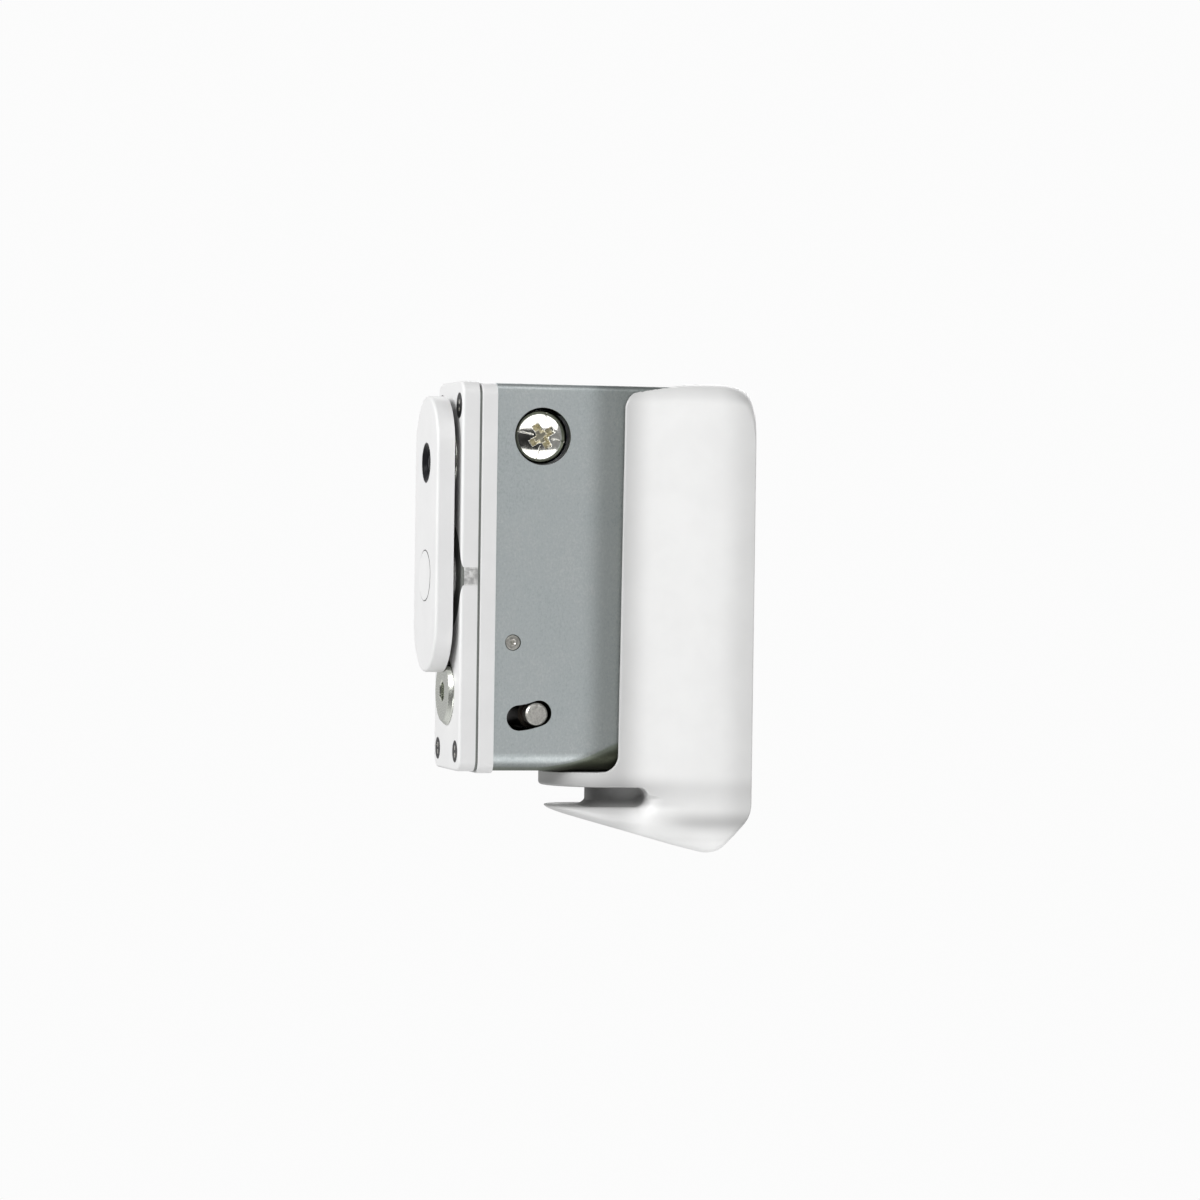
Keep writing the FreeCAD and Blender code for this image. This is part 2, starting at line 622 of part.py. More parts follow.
def battery_tray():
    tray = side_prism([(18.5, -10.2), (18.5, 2.0), (44.4, 2.0), (44.4, -10.2)], -7.7, 12.3)
    return tray.cut(side_prism([(19.4, -8.1), (19.4, 4), (43.6, 4), (43.6, -8.1)], -6.7, 8.7))


def speaker():
    rim = rod(8.5, at(34, -30, -12.4), at(34, -30, -10.4))
    cup = rod(6.8, at(34, -30, -10.4), at(34, -30, -7.4))
    magnet = rod(4.6, at(34, -30, -7.4), at(34, -30, -5.2))
    return rim.fuse(cup).fuse(magnet).removeSplitter()


def ribbon_cable():
    """Flat flex from the bell's board, through the neck, to the main board."""
    t = 0.125
    y0 = FACE_BACK_Y - BACK_COVER_T
    y1 = BOX_FRONT_Y + 13.0
    y2 = BOX_FRONT_Y + 18.0
    lead = block(-3.5, 3.5, y0, y1, PLATE_Z - t, PLATE_Z + t)
    turn = block(-9.4, 3.5, y1, y2, PLATE_Z - t, PLATE_Z + t)
    plug = block(-9.8, -8.0, y1, y2, PLATE_Z - 1.0, PLATE_Z + 0.4)
    return lead.fuse(turn).fuse(plug).removeSplitter()


# ---- cradle -------------------------------------------------------------------------------
def cradle_plan():
    """Outline seen from above: a round nose, then sides that flare out towards the wall."""
    def point(x, depth):
        return V(x, BOX_FRONT_Y + depth, 0)

    nose = Part.Arc(point(-NOSE_R, NOSE_Y), point(0, NOSE_Y - NOSE_R), point(NOSE_R, NOSE_Y))
    flare = Part.BSplineCurve()
    w = CRADLE_HALF_W
    stations = [(NOSE_R, NOSE_Y), (NOSE_R + 0.2, 36.0), (NOSE_R + 1.1, 41.0), (NOSE_R + 2.5, 47.0),
                (w - 0.65, 53.0), (w, 60.0), (w - 0.15, WALL_Y)]
    flare.interpolate([point(x, y) for x, y in stations],
                      InitialTangent=V(0, 1, 0), FinalTangent=V(-0.06, 1, 0))
    right = flare.toShape()
    left = mirrored(right)
    wall = Part.makeLine(point(w - 0.15, WALL_Y), point(-w + 0.15, WALL_Y))
    return Part.Face(Part.Wire(Part.__sortEdges__([nose.toShape(), right, wall, left])))


def cradle_side():
    """Outline seen from the side, as a solid as wide as the cradle."""
    def point(depth, height):
        return V(-30, BOX_FRONT_Y + depth, PLATE_Z + height)

    def arc(start, middle, end):
        return Part.Arc(point(*start), point(*middle), point(*end)).toShape()

    corner, fillet, back_r, low_r = 4.2, 4.3, 6.0, 6.0
    k = 1 - math.sqrt(0.5)
    front, top, floor, wall = CHEEK_FRONT_Y, CRADLE_TOP, CRADLE_FLOOR, WALL_Y
    slope = math.radians(15.6)           # of the underside, falling towards the wall
    chin = (55.0, CRADLE_LOW + 0.25)     # where the underside starts to round up
    heel = (58.6, CRADLE_LOW + 1.7)      # start of the bevel up to the wall
    bevel = (63.9, -61.9)                # end of the bevel
    run = [
        Part.makeLine(point(10, floor), point(front - fillet, floor)),
        arc((front - fillet, floor), (front - k * fillet, floor + k * fillet),
            (front, floor + fillet)),
        Part.makeLine(point(front, floor + fillet), point(front, top - corner)),
        arc((front, top - corner), (front + k * corner, top - k * corner), (front + corner, top)),
        Part.makeLine(point(front + corner, top), point(wall - back_r, top)),
        arc((wall - back_r, top), (wall - k * back_r, top - k * back_r), (wall, top - back_r)),
        Part.makeLine(point(wall, top - back_r), point(wall, bevel[1] + low_r - 1.2)),
        arc((wall, bevel[1] + low_r - 1.2), (wall - 0.5, bevel[1] + 2.2), bevel),
        Part.makeLine(point(*bevel), point(*heel)),
        arc(heel, (57.0, CRADLE_LOW + 0.55), chin),
        Part.makeLine(point(*chin), point(10, chin[1] + (chin[0] - 10) * math.tan(slope))),
        Part.makeLine(point(10, chin[1] + (chin[0] - 10) * math.tan(slope)), point(10, floor)),
    ]
    return Part.Face(Part.Wire(run)).extrude(V(60, 0, 0))


def finger_groove():
    """The gap under the tongue: open at the front, running back along both sides."""
    top = CRADLE_FLOOR - CRADLE_LIP_T
    low = CRADLE_GAP_BOTTOM
    r = (top - low) / 2
    end = 39.9
    slot = side_prism([(5, low), (5, top), (end - r, top), (end - r, low)], -30, 30)
    slot = slot.fuse(rod(r, at(end - r, (top + low) / 2, -30), at(end - r, (top + low) / 2, 30)))
    web = side_prism([(28.2, low - 2), (28.2, top + 2), (50, top + 2), (50, low - 2)], -8.0, 8.0)
    return slot.cut(web)


def cradle():
    plan = cradle_plan().extrude(V(0, 0, 140))
    plan.translate(V(0, 0, PLATE_Z - 80))
    body = plan.common(cradle_side())
    body = body.cut(finger_groove())
    body = body.cut(side_prism([(0, CRADLE_FLOOR), (0, 60), (POCKET_BACK_Y, 60),
                                (POCKET_BACK_Y, CRADLE_FLOOR)], -POCKET_HALF_W, POCKET_HALF_W))
    body = body.cut(keeper_recess()).cut(wall_hollow())
    for z in wall_hole_heights():
        body = body.cut(rod(WALL_HOLE_R, (0, -30, z), (0, 1, z)))
        body = body.cut(cone(4.4, WALL_HOLE_R, (0, BOX_FRONT_Y + POCKET_BACK_Y, z),
                             (0, BOX_FRONT_Y + POCKET_BACK_Y + 2.2, z)))
    for z in hook_screw_heights():
        body = body.cut(rod(1.28, (0, -20, z), (0, BOX_FRONT_Y + POCKET_BACK_Y + 4.5, z)))
    recess = side_prism([(POCKET_BACK_Y - 1, 5.4), (POCKET_BACK_Y - 1, 28.5),
                         (POCKET_BACK_Y + 1.22, 28.5), (POCKET_BACK_Y + 1.22, 5.4)], -6.1, 6.1)
    return body.cut(recess).removeSplitter()


def keeper_recess():
    space = side_prism([(18.5, CRADLE_FLOOR - 1.52), (18.5, CRADLE_FLOOR + 1),
                        (37.5, CRADLE_FLOOR + 1), (37.5, CRADLE_FLOOR - 1.52)], -6.1, 6.1)
    for depth in keeper_screw_depths():
        space = space.fuse(rod(1.28, at(depth, CRADLE_FLOOR), at(depth, CRADLE_FLOOR - 3.35)))
    return space


def wall_hollow():
    """The hollow behind the cradle's back, with bosses left round the wall screws."""
    wall = 5.2
    space = side_prism([(POCKET_BACK_Y + wall, -52), (POCKET_BACK_Y + wall, 40),
                        (WALL_Y + 5, 40), (WALL_Y + 5, -52)], -15.2, 15.2)
    rounds = [e for e in space.Edges if e.BoundBox.YLength > 5]
    space = space.makeFillet(3.0, rounds)
    for z in wall_hole_heights():
        space = space.cut(rod(6.0, (0, -30, z), (0, 10, z)))
    rib = block(-16, 16, -30, 10, -0.9, 0.9)
    return space.cut(rib)


def wall_hole_heights():
    return [-WALL_HOLE_PITCH / 2, WALL_HOLE_PITCH / 2]


def hook_screw_heights():
    return [PLATE_Z + 15.0, PLATE_Z + 9.0]


def hook_plate():
    """Steel hanger let into the cradle's back; its upturned end enters the housing's rear slot."""
    back = POCKET_BACK_Y + 1.2
    hook = side_prism([(POCKET_BACK_Y, 5.5), (POCKET_BACK_Y, 27.0), (44.6, 27.0), (44.6, 32.2),
                       (46.1, 32.2), (46.1, 28.4), (back, 28.4), (back, 5.5)], -6.0, 6.0)
    for z in hook_screw_heights():
        hook = hook.cut(hook_screw(z, 0.04))
    return hook


def hook_screw(z, grow):
    y = BOX_FRONT_Y + POCKET_BACK_Y
    head = cone(2.3 + grow, 1.25 + grow, (0, y, z), (0, y + 1.1, z))
    return head.fuse(rod(1.25 + grow, (0, y, z), (0, y + 4.4, z)))


def hook_screws():
    return Part.makeCompound([hook_screw(z, 0.0) for z in hook_screw_heights()])


def rest_pads():
    """Thin foam pads on the cradle's back, behind the housing."""
    y0 = BOX_REAR_Y
    y1 = BOX_FRONT_Y + POCKET_BACK_Y
    return Part.makeCompound([block(-10, 10, y0, y1, z - 4, z + 4) for z in (-34.0, 47.5)])


# ---- the whole assembly -------------------------------------------------------------------
def parts():
    upper, lower = spanner_places()
    return {
        "bell_face": bell_face(),
        "bell_back_cover": bell_back_cover(),
        "bell_board": bell_board(),
        "lens_window": lens_window(),
        "camera_module": camera_module(),
        "microphone": microphone(),
        "button_cap": button_cap(),
        "switch_dome": switch_dome(),
        "neck_boss": neck_boss(),
        "neck_seal": neck_seal(),
        "front_plate_upper": front_plate(1),
        "front_plate_lower": front_plate(-1),
        "spanner_screws_upper": spanner_screws(upper, SPANNER_UP_R),
        "spanner_screws_lower": spanner_screws(lower, SPANNER_DOWN_R),
        "cap_bolts": cap_bolts(),
        "plate_gasket": plate_gasket(),
        "adapter_plate": adapter_plate(),
        "adapter_screws": adapter_screws(),
        "weld_nut": weld_nut(),
        "housing": housing(),
        "chassis": chassis(),
        "side_screw": side_screw(),
        "clamp_nut": clamp_nut(),
        "pivot_pin": pivot_pin(),
        "cross_pin": cross_pin(),
        "latch_lever": latch_lever(),
        "latch_spring": latch_spring(),
        "keeper": keeper(),
        "keeper_screws": keeper_screws(),
        "main_board": main_board(),
        "board_modules": board_modules(),
        "battery": battery(),
        "battery_tray": battery_tray(),
        "speaker": speaker(),
        "ribbon_cable": ribbon_cable(),
        "cradle": cradle(),
        "hook_plate": hook_plate(),
        "hook_screws": hook_screws(),
        "rest_pads": rest_pads(),
    }


os.makedirs("parts", exist_ok=True)
for name, shape in parts().items():
    shape.exportStep("parts/" + name + ".step")
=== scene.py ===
import math

import bmesh
import bpy
import numpy as np
from mathutils import Matrix, Vector


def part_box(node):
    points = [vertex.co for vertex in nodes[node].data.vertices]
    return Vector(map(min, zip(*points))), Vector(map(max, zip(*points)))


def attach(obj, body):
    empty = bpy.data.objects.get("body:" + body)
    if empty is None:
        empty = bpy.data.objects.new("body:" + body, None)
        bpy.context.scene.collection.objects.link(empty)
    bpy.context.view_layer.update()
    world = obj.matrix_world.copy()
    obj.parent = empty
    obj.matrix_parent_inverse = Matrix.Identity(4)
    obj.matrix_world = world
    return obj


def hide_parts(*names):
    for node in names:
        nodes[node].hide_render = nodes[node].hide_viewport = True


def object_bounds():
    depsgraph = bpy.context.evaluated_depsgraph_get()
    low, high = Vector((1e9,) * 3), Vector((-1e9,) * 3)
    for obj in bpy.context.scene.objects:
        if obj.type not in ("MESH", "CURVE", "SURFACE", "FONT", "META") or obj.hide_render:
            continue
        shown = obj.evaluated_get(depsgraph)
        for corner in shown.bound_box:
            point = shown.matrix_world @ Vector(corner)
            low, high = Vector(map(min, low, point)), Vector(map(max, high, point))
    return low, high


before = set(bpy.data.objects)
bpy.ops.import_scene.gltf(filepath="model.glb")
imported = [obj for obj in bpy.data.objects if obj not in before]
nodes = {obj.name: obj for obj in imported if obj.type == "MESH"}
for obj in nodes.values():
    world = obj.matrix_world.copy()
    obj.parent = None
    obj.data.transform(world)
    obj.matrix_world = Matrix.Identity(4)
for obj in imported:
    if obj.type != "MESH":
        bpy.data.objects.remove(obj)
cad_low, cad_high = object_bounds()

# A slim video doorbell whose head hangs in a wall cradle. The scene is in metres, in the frame
# of the CAD: +Z is up, the bell's face looks along -Y, and the wall is the plane Y = 0. Shapes
# are worked out in millimetres, with y counted back from the housing's front rim and z counted
# up from the centre of the front plates.
MM = 0.001
RIM_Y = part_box("housing")[0].y / MM
PLATE_Z = (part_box("front_plate_upper")[1].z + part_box("front_plate_lower")[0].z) / 2 / MM

scene = bpy.context.scene


def back(distance):
    """Y in metres of a place that many millimetres behind the rim."""
    return (RIM_Y + distance) * MM


def up(distance):
    """Z in metres of a place that many millimetres above the plates' centre."""
    return (PLATE_Z + distance) * MM


# ---- camera ---------------------------------------------------------------------------------
CAMERA_AZIMUTH = math.radians(75.266)
CAMERA_ELEVATION = math.radians(0.548)
CAMERA_ROLL = math.radians(0.785)
CAMERA_PLACE = Vector((1.03289, -0.30681, 0.01194))
CAMERA_LENS = 126.0
CAMERA_CLIP = (0.01, 50.0)


def make_camera():
    """A camera beside the bell and a little in front of it, rolled a little about its view."""
    a, e = CAMERA_AZIMUTH, CAMERA_ELEVATION
    behind = Vector((math.sin(a) * math.cos(e), -math.cos(a) * math.cos(e), math.sin(e)))
    right = (-behind).cross(Vector((0, 0, 1))).normalized()
    above = behind.cross(right)
    c, s = math.cos(CAMERA_ROLL), math.sin(CAMERA_ROLL)
    data = bpy.data.cameras.new("camera")
    data.lens = CAMERA_LENS
    data.clip_start, data.clip_end = CAMERA_CLIP
    camera = bpy.data.objects.new("camera", data)
    scene.collection.objects.link(camera)
    pose = Matrix((right * c + above * s, above * c - right * s, behind)).transposed().to_4x4()
    pose.translation = CAMERA_PLACE
    camera.matrix_world = pose
    scene.camera = camera


# ---- node helpers ---------------------------------------------------------------------------
NOISE_LOW, NOISE_HIGH = 0.3, 0.7  # noise is nearly always between these
MIX_FIRST, MIX_SECOND, MIX_RESULT = 6, 7, 2  # the Mix node's sockets for colours


def new_material(name):
    mat = bpy.data.materials.new(name)
    mat.use_nodes = True
    tree = mat.node_tree
    tree.nodes.clear()
    out = tree.nodes.new("ShaderNodeOutputMaterial")
    shader = tree.nodes.new("ShaderNodeBsdfPrincipled")
    tree.links.new(shader.outputs[0], out.inputs[0])
    return mat, tree, shader


def position(tree, scale=(1, 1, 1)):
    """The point on the object in its own frame, in metres, times a scale."""
    coords = tree.nodes.new("ShaderNodeTexCoord")
    mapping = tree.nodes.new("ShaderNodeMapping")
    mapping.inputs["Scale"].default_value = scale
    tree.links.new(coords.outputs["Object"], mapping.inputs["Vector"])
    return mapping.outputs["Vector"]


def axes_of(tree, vector):
    """The x, y and z of a vector."""
    node = tree.nodes.new("ShaderNodeSeparateXYZ")
    tree.links.new(vector, node.inputs[0])
    return node.outputs["X"], node.outputs["Y"], node.outputs["Z"]


def grain(tree, where, per_metre, detail=3.0, roughness=0.55):
    """Noise whose features are about one over per_metre across."""
    tex = tree.nodes.new("ShaderNodeTexNoise")
    tex.inputs["Scale"].default_value = per_metre
    tex.inputs["Detail"].default_value = detail
    tex.inputs["Roughness"].default_value = roughness
    tree.links.new(where, tex.inputs["Vector"])
    return tex.outputs["Fac"]


def ramp(tree, value, stops):
    """Colours or greys at places from 0 to 1, smoothly joined."""
    node = tree.nodes.new("ShaderNodeValToRGB")
    node.color_ramp.interpolation = "EASE"
    elements = node.color_ramp.elements
    while len(elements) < len(stops):
        elements.new(0.5)
    for element, (place, colour) in zip(elements, stops):
        element.position = place
        element.color = (*colour, 1) if isinstance(colour, tuple) else (colour, colour, colour, 1)
    tree.links.new(value, node.inputs["Fac"])
    return node.outputs["Color"]


def noisy(tree, noise, low, high):
    """Goes from one colour or grey to another as the noise rises."""
    return ramp(tree, noise, [(NOISE_LOW, low), (NOISE_HIGH, high)])


def bump(tree, shader, height, depth):
    """Raises the surface by height times depth, in metres."""
    node = tree.nodes.new("ShaderNodeBump")
    node.inputs["Strength"].default_value = 1.0
    node.inputs["Distance"].default_value = depth
    tree.links.new(height, node.inputs["Height"])
    tree.links.new(node.outputs["Normal"], shader.inputs["Normal"])


def scaled(colour, factor):
    return tuple(min(1.0, c * factor) for c in colour)


def between_places(tree, value, start, end, low, high):
    """Goes smoothly from low to high as a value goes from start to end."""
    node = tree.nodes.new("ShaderNodeMapRange")
    node.interpolation_type = "SMOOTHSTEP"
    for name, number in (("From Min", start), ("From Max", end), ("To Min", low), ("To Max", high)):
        node.inputs[name].default_value = number
    tree.links.new(value, node.inputs["Value"])
    return node.outputs["Result"]


def combined(tree, operation, first, second=0.0):
    """Two values put together, either of which may be a plain number."""
    node = tree.nodes.new("ShaderNodeMath")
    node.operation = operation
    for socket, value in zip(node.inputs, (first, second)):
        if isinstance(value, (int, float)):
            socket.default_value = value
        else:
            tree.links.new(value, socket)
    return node.outputs[0]


def gathered(tree, operation, first, *others):
    """Any number of values put together, one after the other."""
    for other in others:
        first = combined(tree, operation, first, other)
    return first


def folded(tree, value, centre):
    """How far a coordinate is from a place, whichever side it is on."""
    return combined(tree, "ABSOLUTE", combined(tree, "SUBTRACT", value, centre))


def away(tree, first, second):
    """Distance from the point where two values are zero."""
    squares = [combined(tree, "MULTIPLY", value, value) for value in (first, second)]
    return combined(tree, "SQRT", combined(tree, "ADD", *squares))


def tinted(tree, colour, factor):
    """A colour times another colour or a grey."""
    node = tree.nodes.new("ShaderNodeVectorMath")
    node.operation = "MULTIPLY"
    tree.links.new(colour, node.inputs[0])
    tree.links.new(factor, node.inputs[1])
    return node.outputs["Vector"]


def mixed(tree, share, first, second):
    """Goes from the first colour to the second, which may be a plain colour, with share."""
    node = tree.nodes.new("ShaderNodeMix")
    node.data_type = "RGBA"
    tree.links.new(share, node.inputs["Factor"])
    tree.links.new(first, node.inputs[MIX_FIRST])
    if isinstance(second, tuple):
        node.inputs[MIX_SECOND].default_value = (*second, 1)
    else:
        tree.links.new(second, node.inputs[MIX_SECOND])
    return node.outputs[MIX_RESULT]


def source_of(socket):
    """What is linked into a shader's socket."""
    return socket.links[0].from_socket


# ---- materials ------------------------------------------------------------------------------
# Colour, roughness, orange peel per metre and its depth in metres.
PAINTED = {
    "white_face": ((0.77, 0.77, 0.77), 0.42, 5200, 3e-6),
    "white_plate": ((0.77, 0.77, 0.77), 0.44, 4200, 4e-6),
}
CRADLE_PAINT = ((0.84, 0.84, 0.835), 0.40, 3600, 4e-6)
BUTTON_PAINT = ((0.80, 0.80, 0.80), 0.38, 6000, 2e-6)

# Colour, roughness, grain per metre and its depth in metres, and how far the grain changes the
# roughness and the tint. cap_steel and pin_steel aren't slots of the record: they are for the
# stand-ins of the cap bolts and the pivot pin.
METALS = {
    "bare_steel": ((0.66, 0.65, 0.61), 0.43, 2200, 18e-6, 0.08, 0.12),
    "spring_steel": ((0.05, 0.042, 0.036), 0.45, 3000, 3e-6, 0.05, 0.08),
    "cast_metal": ((0.72, 0.72, 0.71), 0.55, 900, 120e-6, 0.10, 0.20),
    "raw_aluminium": ((0.66, 0.67, 0.68), 0.40, 2600, 5e-6, 0.05, 0.08),
    "silver_can": ((0.62, 0.62, 0.60), 0.35, 2000, 4e-6, 0.05, 0.08),
    "cap_steel": ((0.78, 0.80, 0.74), 0.24, 2600, 1e-6, 0.05, 0.04),
    "pin_steel": ((0.55, 0.54, 0.50), 0.38, 2200, 18e-6, 0.08, 0.16),
    "brass": ((0.70, 0.50, 0.22), 0.30, 2500, 4e-6, 0.05, 0.08),
}
SCREW_METAL = ((0.86, 0.85, 0.80), 0.12, 900, 1e-6, 0.03, 0.08)
BLACK_METAL = ((0.03, 0.03, 0.032), 0.35, 3000, 4e-6, 0.05, 0.08)

# Colour, roughness, grain per metre and its depth in metres, and specular level.
MOULDED = {
    "dark_rubber": ((0.17, 0.18, 0.17), 0.60, 2500, 4e-6, 0.5),
    "dark_foam": ((0.04, 0.04, 0.04), 0.90, 1500, 40e-6, 0.5),
    "dark_glass": ((0.010, 0.010, 0.012), 0.12, 400, 1e-6, 0.08),
    "black_plastic": ((0.02, 0.02, 0.021), 0.50, 2500, 4e-6, 0.5),
    "circuit_board": ((0.015, 0.10, 0.04), 0.35, 2500, 4e-6, 0.5),
    "battery_wrap": ((0.05, 0.13, 0.28), 0.30, 2500, 4e-6, 0.5),
    "amber_film": ((0.45, 0.20, 0.03), 0.30, 2500, 4e-6, 0.5),
}
MOULDED_TONE = 0.15
MOULDED_SPREAD = (0.05, 0.06)  # of the roughness, down and up


def painted(name, colour, rough, peel_per_metre, peel_depth):
    """Powder coat or satin moulding: faint cloudiness, fine orange peel, uneven roughness."""
    mat, tree, shader = new_material(name)
    where = position(tree)
    tint = noisy(tree, grain(tree, where, 90, 4.0), scaled(colour, 0.975), scaled(colour, 1.01))
    tree.links.new(tint, shader.inputs["Base Color"])
    peel = grain(tree, where, peel_per_metre, 2.0)
    tree.links.new(ramp(tree, peel, [(0.25, rough - 0.04), (0.75, rough + 0.05)]),
                   shader.inputs["Roughness"])
    bump(tree, shader, peel, peel_depth)
    return mat, tree, shader


def grained(name, colour, rough, per_metre, depth, tone, smoother, rougher):
    """A fine grain that changes the tint, the roughness and the surface."""
    mat, tree, shader = new_material(name)
    fine = grain(tree, position(tree), per_metre)
    tree.links.new(noisy(tree, fine, scaled(colour, 1 - tone), scaled(colour, 1 + tone)),
                   shader.inputs["Base Color"])
    tree.links.new(noisy(tree, fine, rough - smoother, rough + rougher),
                   shader.inputs["Roughness"])
    bump(tree, shader, fine, depth)
    return mat, tree, shader


def metal(name, colour, rough, per_metre, depth, spread, tone):
    mat, tree, shader = grained(name, colour, rough, per_metre, depth, tone, spread, spread)
    shader.inputs["Metallic"].default_value = 1.0
    return mat, tree, shader


def moulded(name, colour, rough, per_metre, depth, gloss):
    """Technical plastic, rubber, glass or film."""
    mat, _, shader = grained(name, colour, rough, per_metre, depth, MOULDED_TONE,
                             *MOULDED_SPREAD)
    shader.inputs["Specular IOR Level"].default_value = gloss
    return mat


# Where shade is painted into the zinc: start and end in metres, and the factors there.
ZINC_SHADE_NEAR_CRADLE = (back(20.0), back(32.0), 1.0, 0.56)
ZINC_SHADE_LOW_EDGE = (up(-48.2), up(-45.5), 0.42, 1.0)
ZINC_SHADOW_CORNER = (0.78, 1.25, 1.0, 0.06)
CORNER_FROM = (back(12.5), up(-42.0))
CORNER_REACH = (0.020, 0.007)
HOLE_WALLS = (0.01360, 0.01375, 1.0, 0.0)  # by distance from the middle plane
HOLE_WALLS_SPAN = ((up(-43.5), up(-42.5), 0, 1), (up(45.5), up(46.5), 1, 0))
HOLE_WALLS_SHADE = 0.8
ZINC_TINTS = [(0.36, (0.42, 0.46, 0.465)), (0.5, (0.50, 0.54, 0.545)),
              (0.64, (0.585, 0.62, 0.62))]
ZINC_SHADES = [(0.0, (0.10, 0.10, 0.07)), (0.35, (0.33, 0.34, 0.28)),
               (0.62, (0.61, 0.61, 0.60)), (1.0, (1.0, 1.0, 1.0))]
ZINC_ROUGHNESS = [(0.36, 0.60), (0.64, 0.50)]
ZINC_BUMP = 12e-6


def galvanised(name):
    """Zinc-plated sheet: cloudy and finely mottled, with shade painted into its colour.

    Painted shade darkens it towards the cradle and along the low edge. A painted shadow makes it
    nearly black in the low rear corner and on the walls of its holes.
    """
    mat, tree, shader = new_material(name)
    where = position(tree)
    x, y, z = axes_of(tree, where)
    parts = [(grain(tree, where, 60, 5.0, 0.6), 0.35),
             (grain(tree, where, 1500, 4.0, 0.7), 0.4),
             (grain(tree, position(tree, (1, 1, 0.35)), 3800, 2.0), 0.25)]
    mottle = gathered(tree, "ADD", *[combined(tree, "MULTIPLY", *part) for part in parts])

    # painted shadow, nearly black, in the low rear corner
    rise, climb = [combined(tree, "MULTIPLY", combined(tree, "SUBTRACT", value, start), 1 / reach)
                   for value, start, reach in zip((y, z), CORNER_FROM, CORNER_REACH)]
    corner = combined(tree, "SUBTRACT", rise, climb)
    # painted shade on the walls of the holes
    wall_shade = gathered(tree, "MULTIPLY",
                     between_places(tree, combined(tree, "ABSOLUTE", x), *HOLE_WALLS),
                     *[between_places(tree, z, *span) for span in HOLE_WALLS_SPAN],
                     HOLE_WALLS_SHADE)
    # all the painted shade together: towards the cradle, along the low edge, in the corner and on
    # the hole walls
    shade = gathered(tree, "MULTIPLY",
                     between_places(tree, y, *ZINC_SHADE_NEAR_CRADLE),
                     between_places(tree, z, *ZINC_SHADE_LOW_EDGE),
                     between_places(tree, corner, *ZINC_SHADOW_CORNER),
                     combined(tree, "SUBTRACT", 1.0, wall_shade))
    colour = tinted(tree, ramp(tree, mottle, ZINC_TINTS), ramp(tree, shade, ZINC_SHADES))
    tree.links.new(colour, shader.inputs["Base Color"])
    tree.links.new(ramp(tree, mottle, ZINC_ROUGHNESS), shader.inputs["Roughness"])
    bump(tree, shader, mottle, ZINC_BUMP)
    shader.inputs["Metallic"].default_value = 1.0
    return mat


# The security screws' driver holes: their places in metres, and where their brightness fades.
SPANNER_X = 0.0098
SPANNER_MIDDLE = up(-0.6)
SPANNER_RISE = 0.0432
DRIVER_HOLE_STEP = 0.0009
DRIVER_HOLE_EDGE = (0.0005, 0.0007, 1.0, 0.0)
DRIVER_HOLE_COLOUR = (0.95, 0.94, 0.90)


def spanner_black(name):
    """Black screws with bright metal in and round their two driver holes."""
    mat, tree, shader = metal(name, *BLACK_METAL)
    x, _, z = axes_of(tree, position(tree))
    across = folded(tree, combined(tree, "ABSOLUTE", x), SPANNER_X)
    along = folded(tree, folded(tree, z, SPANNER_MIDDLE), SPANNER_RISE)
    along = folded(tree, along, DRIVER_HOLE_STEP)
    bright = between_places(tree, away(tree, across, along), *DRIVER_HOLE_EDGE)
    tint = ramp(tree, bright, [(0.0, BLACK_METAL[0]), (1.0, DRIVER_HOLE_COLOUR)])
    tree.links.new(tint, shader.inputs["Base Color"])
    return mat


RECESS_EDGE = (0.0040, 0.0044, 1.0, 0.0)  # by distance from the screw's axis
RECESS_DEPTH = (0.0006, 0.0013)  # below the head's top, where its colour starts and is full
RECESS_COLOUR = (0.76, 0.72, 0.58)
RECESS_ROUGHER = 0.20


def screw_steel(name):
    """Polished steel, yellowish and duller in the side screw's recess."""
    mat, tree, shader = metal(name, *SCREW_METAL)
    low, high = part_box("side_screw")
    x, y, z = axes_of(tree, position(tree))
    out = away(tree, combined(tree, "SUBTRACT", y, (low.y + high.y) / 2),
               combined(tree, "SUBTRACT", z, (low.z + high.z) / 2))
    start, full = RECESS_DEPTH
    recess = combined(tree, "MULTIPLY", between_places(tree, out, *RECESS_EDGE),
                      between_places(tree, x, high.x - start, high.x - full, 0.0, 1.0))
    colour = mixed(tree, recess, source_of(shader.inputs["Base Color"]), RECESS_COLOUR)
    tree.links.new(colour, shader.inputs["Base Color"])
    dull = combined(tree, "ADD", combined(tree, "MULTIPLY", recess, RECESS_ROUGHER),
                    source_of(shader.inputs["Roughness"]))
    tree.links.new(dull, shader.inputs["Roughness"])
    return mat


# Where light and shade are painted into the cradle's white: start and end in metres, and the
# factors there.
CRADLE_FRONT_SHADE = (back(32.0), back(40.0), 0.71, 1.0)
CRADLE_WALL_SHADE = (back(56.0), back(66.0), 1.0, 0.83)
CRADLE_TOP_SHADE = (up(43.5), up(45.7), 1.0, 0.87)
LOW_PART = (up(-70.0), up(-46.0), 0.0, 1.0)
# by height in the low part, rear and front: above 1 is painted light on the fin and the bottom
# edge, below 1 is painted shade along the crease and on the tongue
LOW_REAR_LIGHT_AND_SHADE = [(0.04, 1.12), (0.10, 1.0), (0.30, 0.64), (0.52, 0.94), (0.80, 0.86), (0.97, 1.0)]
LOW_FRONT_LIGHT_AND_SHADE = [(0.30, 1.24), (0.48, 1.16), (0.60, 0.76), (0.80, 0.66), (0.98, 1.0)]
LOW_FRONT_TO_REAR = (back(33.0), back(52.0), 0.0, 1.0)
# painted shade in the groove under the tongue
GROOVE_SHADE = 0.40
GROOVE_HALF = (0.0125, 0.0100, 0.0, 1.0)
GROOVE_SPAN_Z = ((up(-59.5), up(-58.0), 0.0, 1.0), (up(-52.2), up(-52.8), 0.0, 1.0))
GROOVE_SPAN_Y = ((back(20.0), back(28.0), 0.0, GROOVE_SHADE), (back(40.5), back(43.0), 1.0, 0.0))


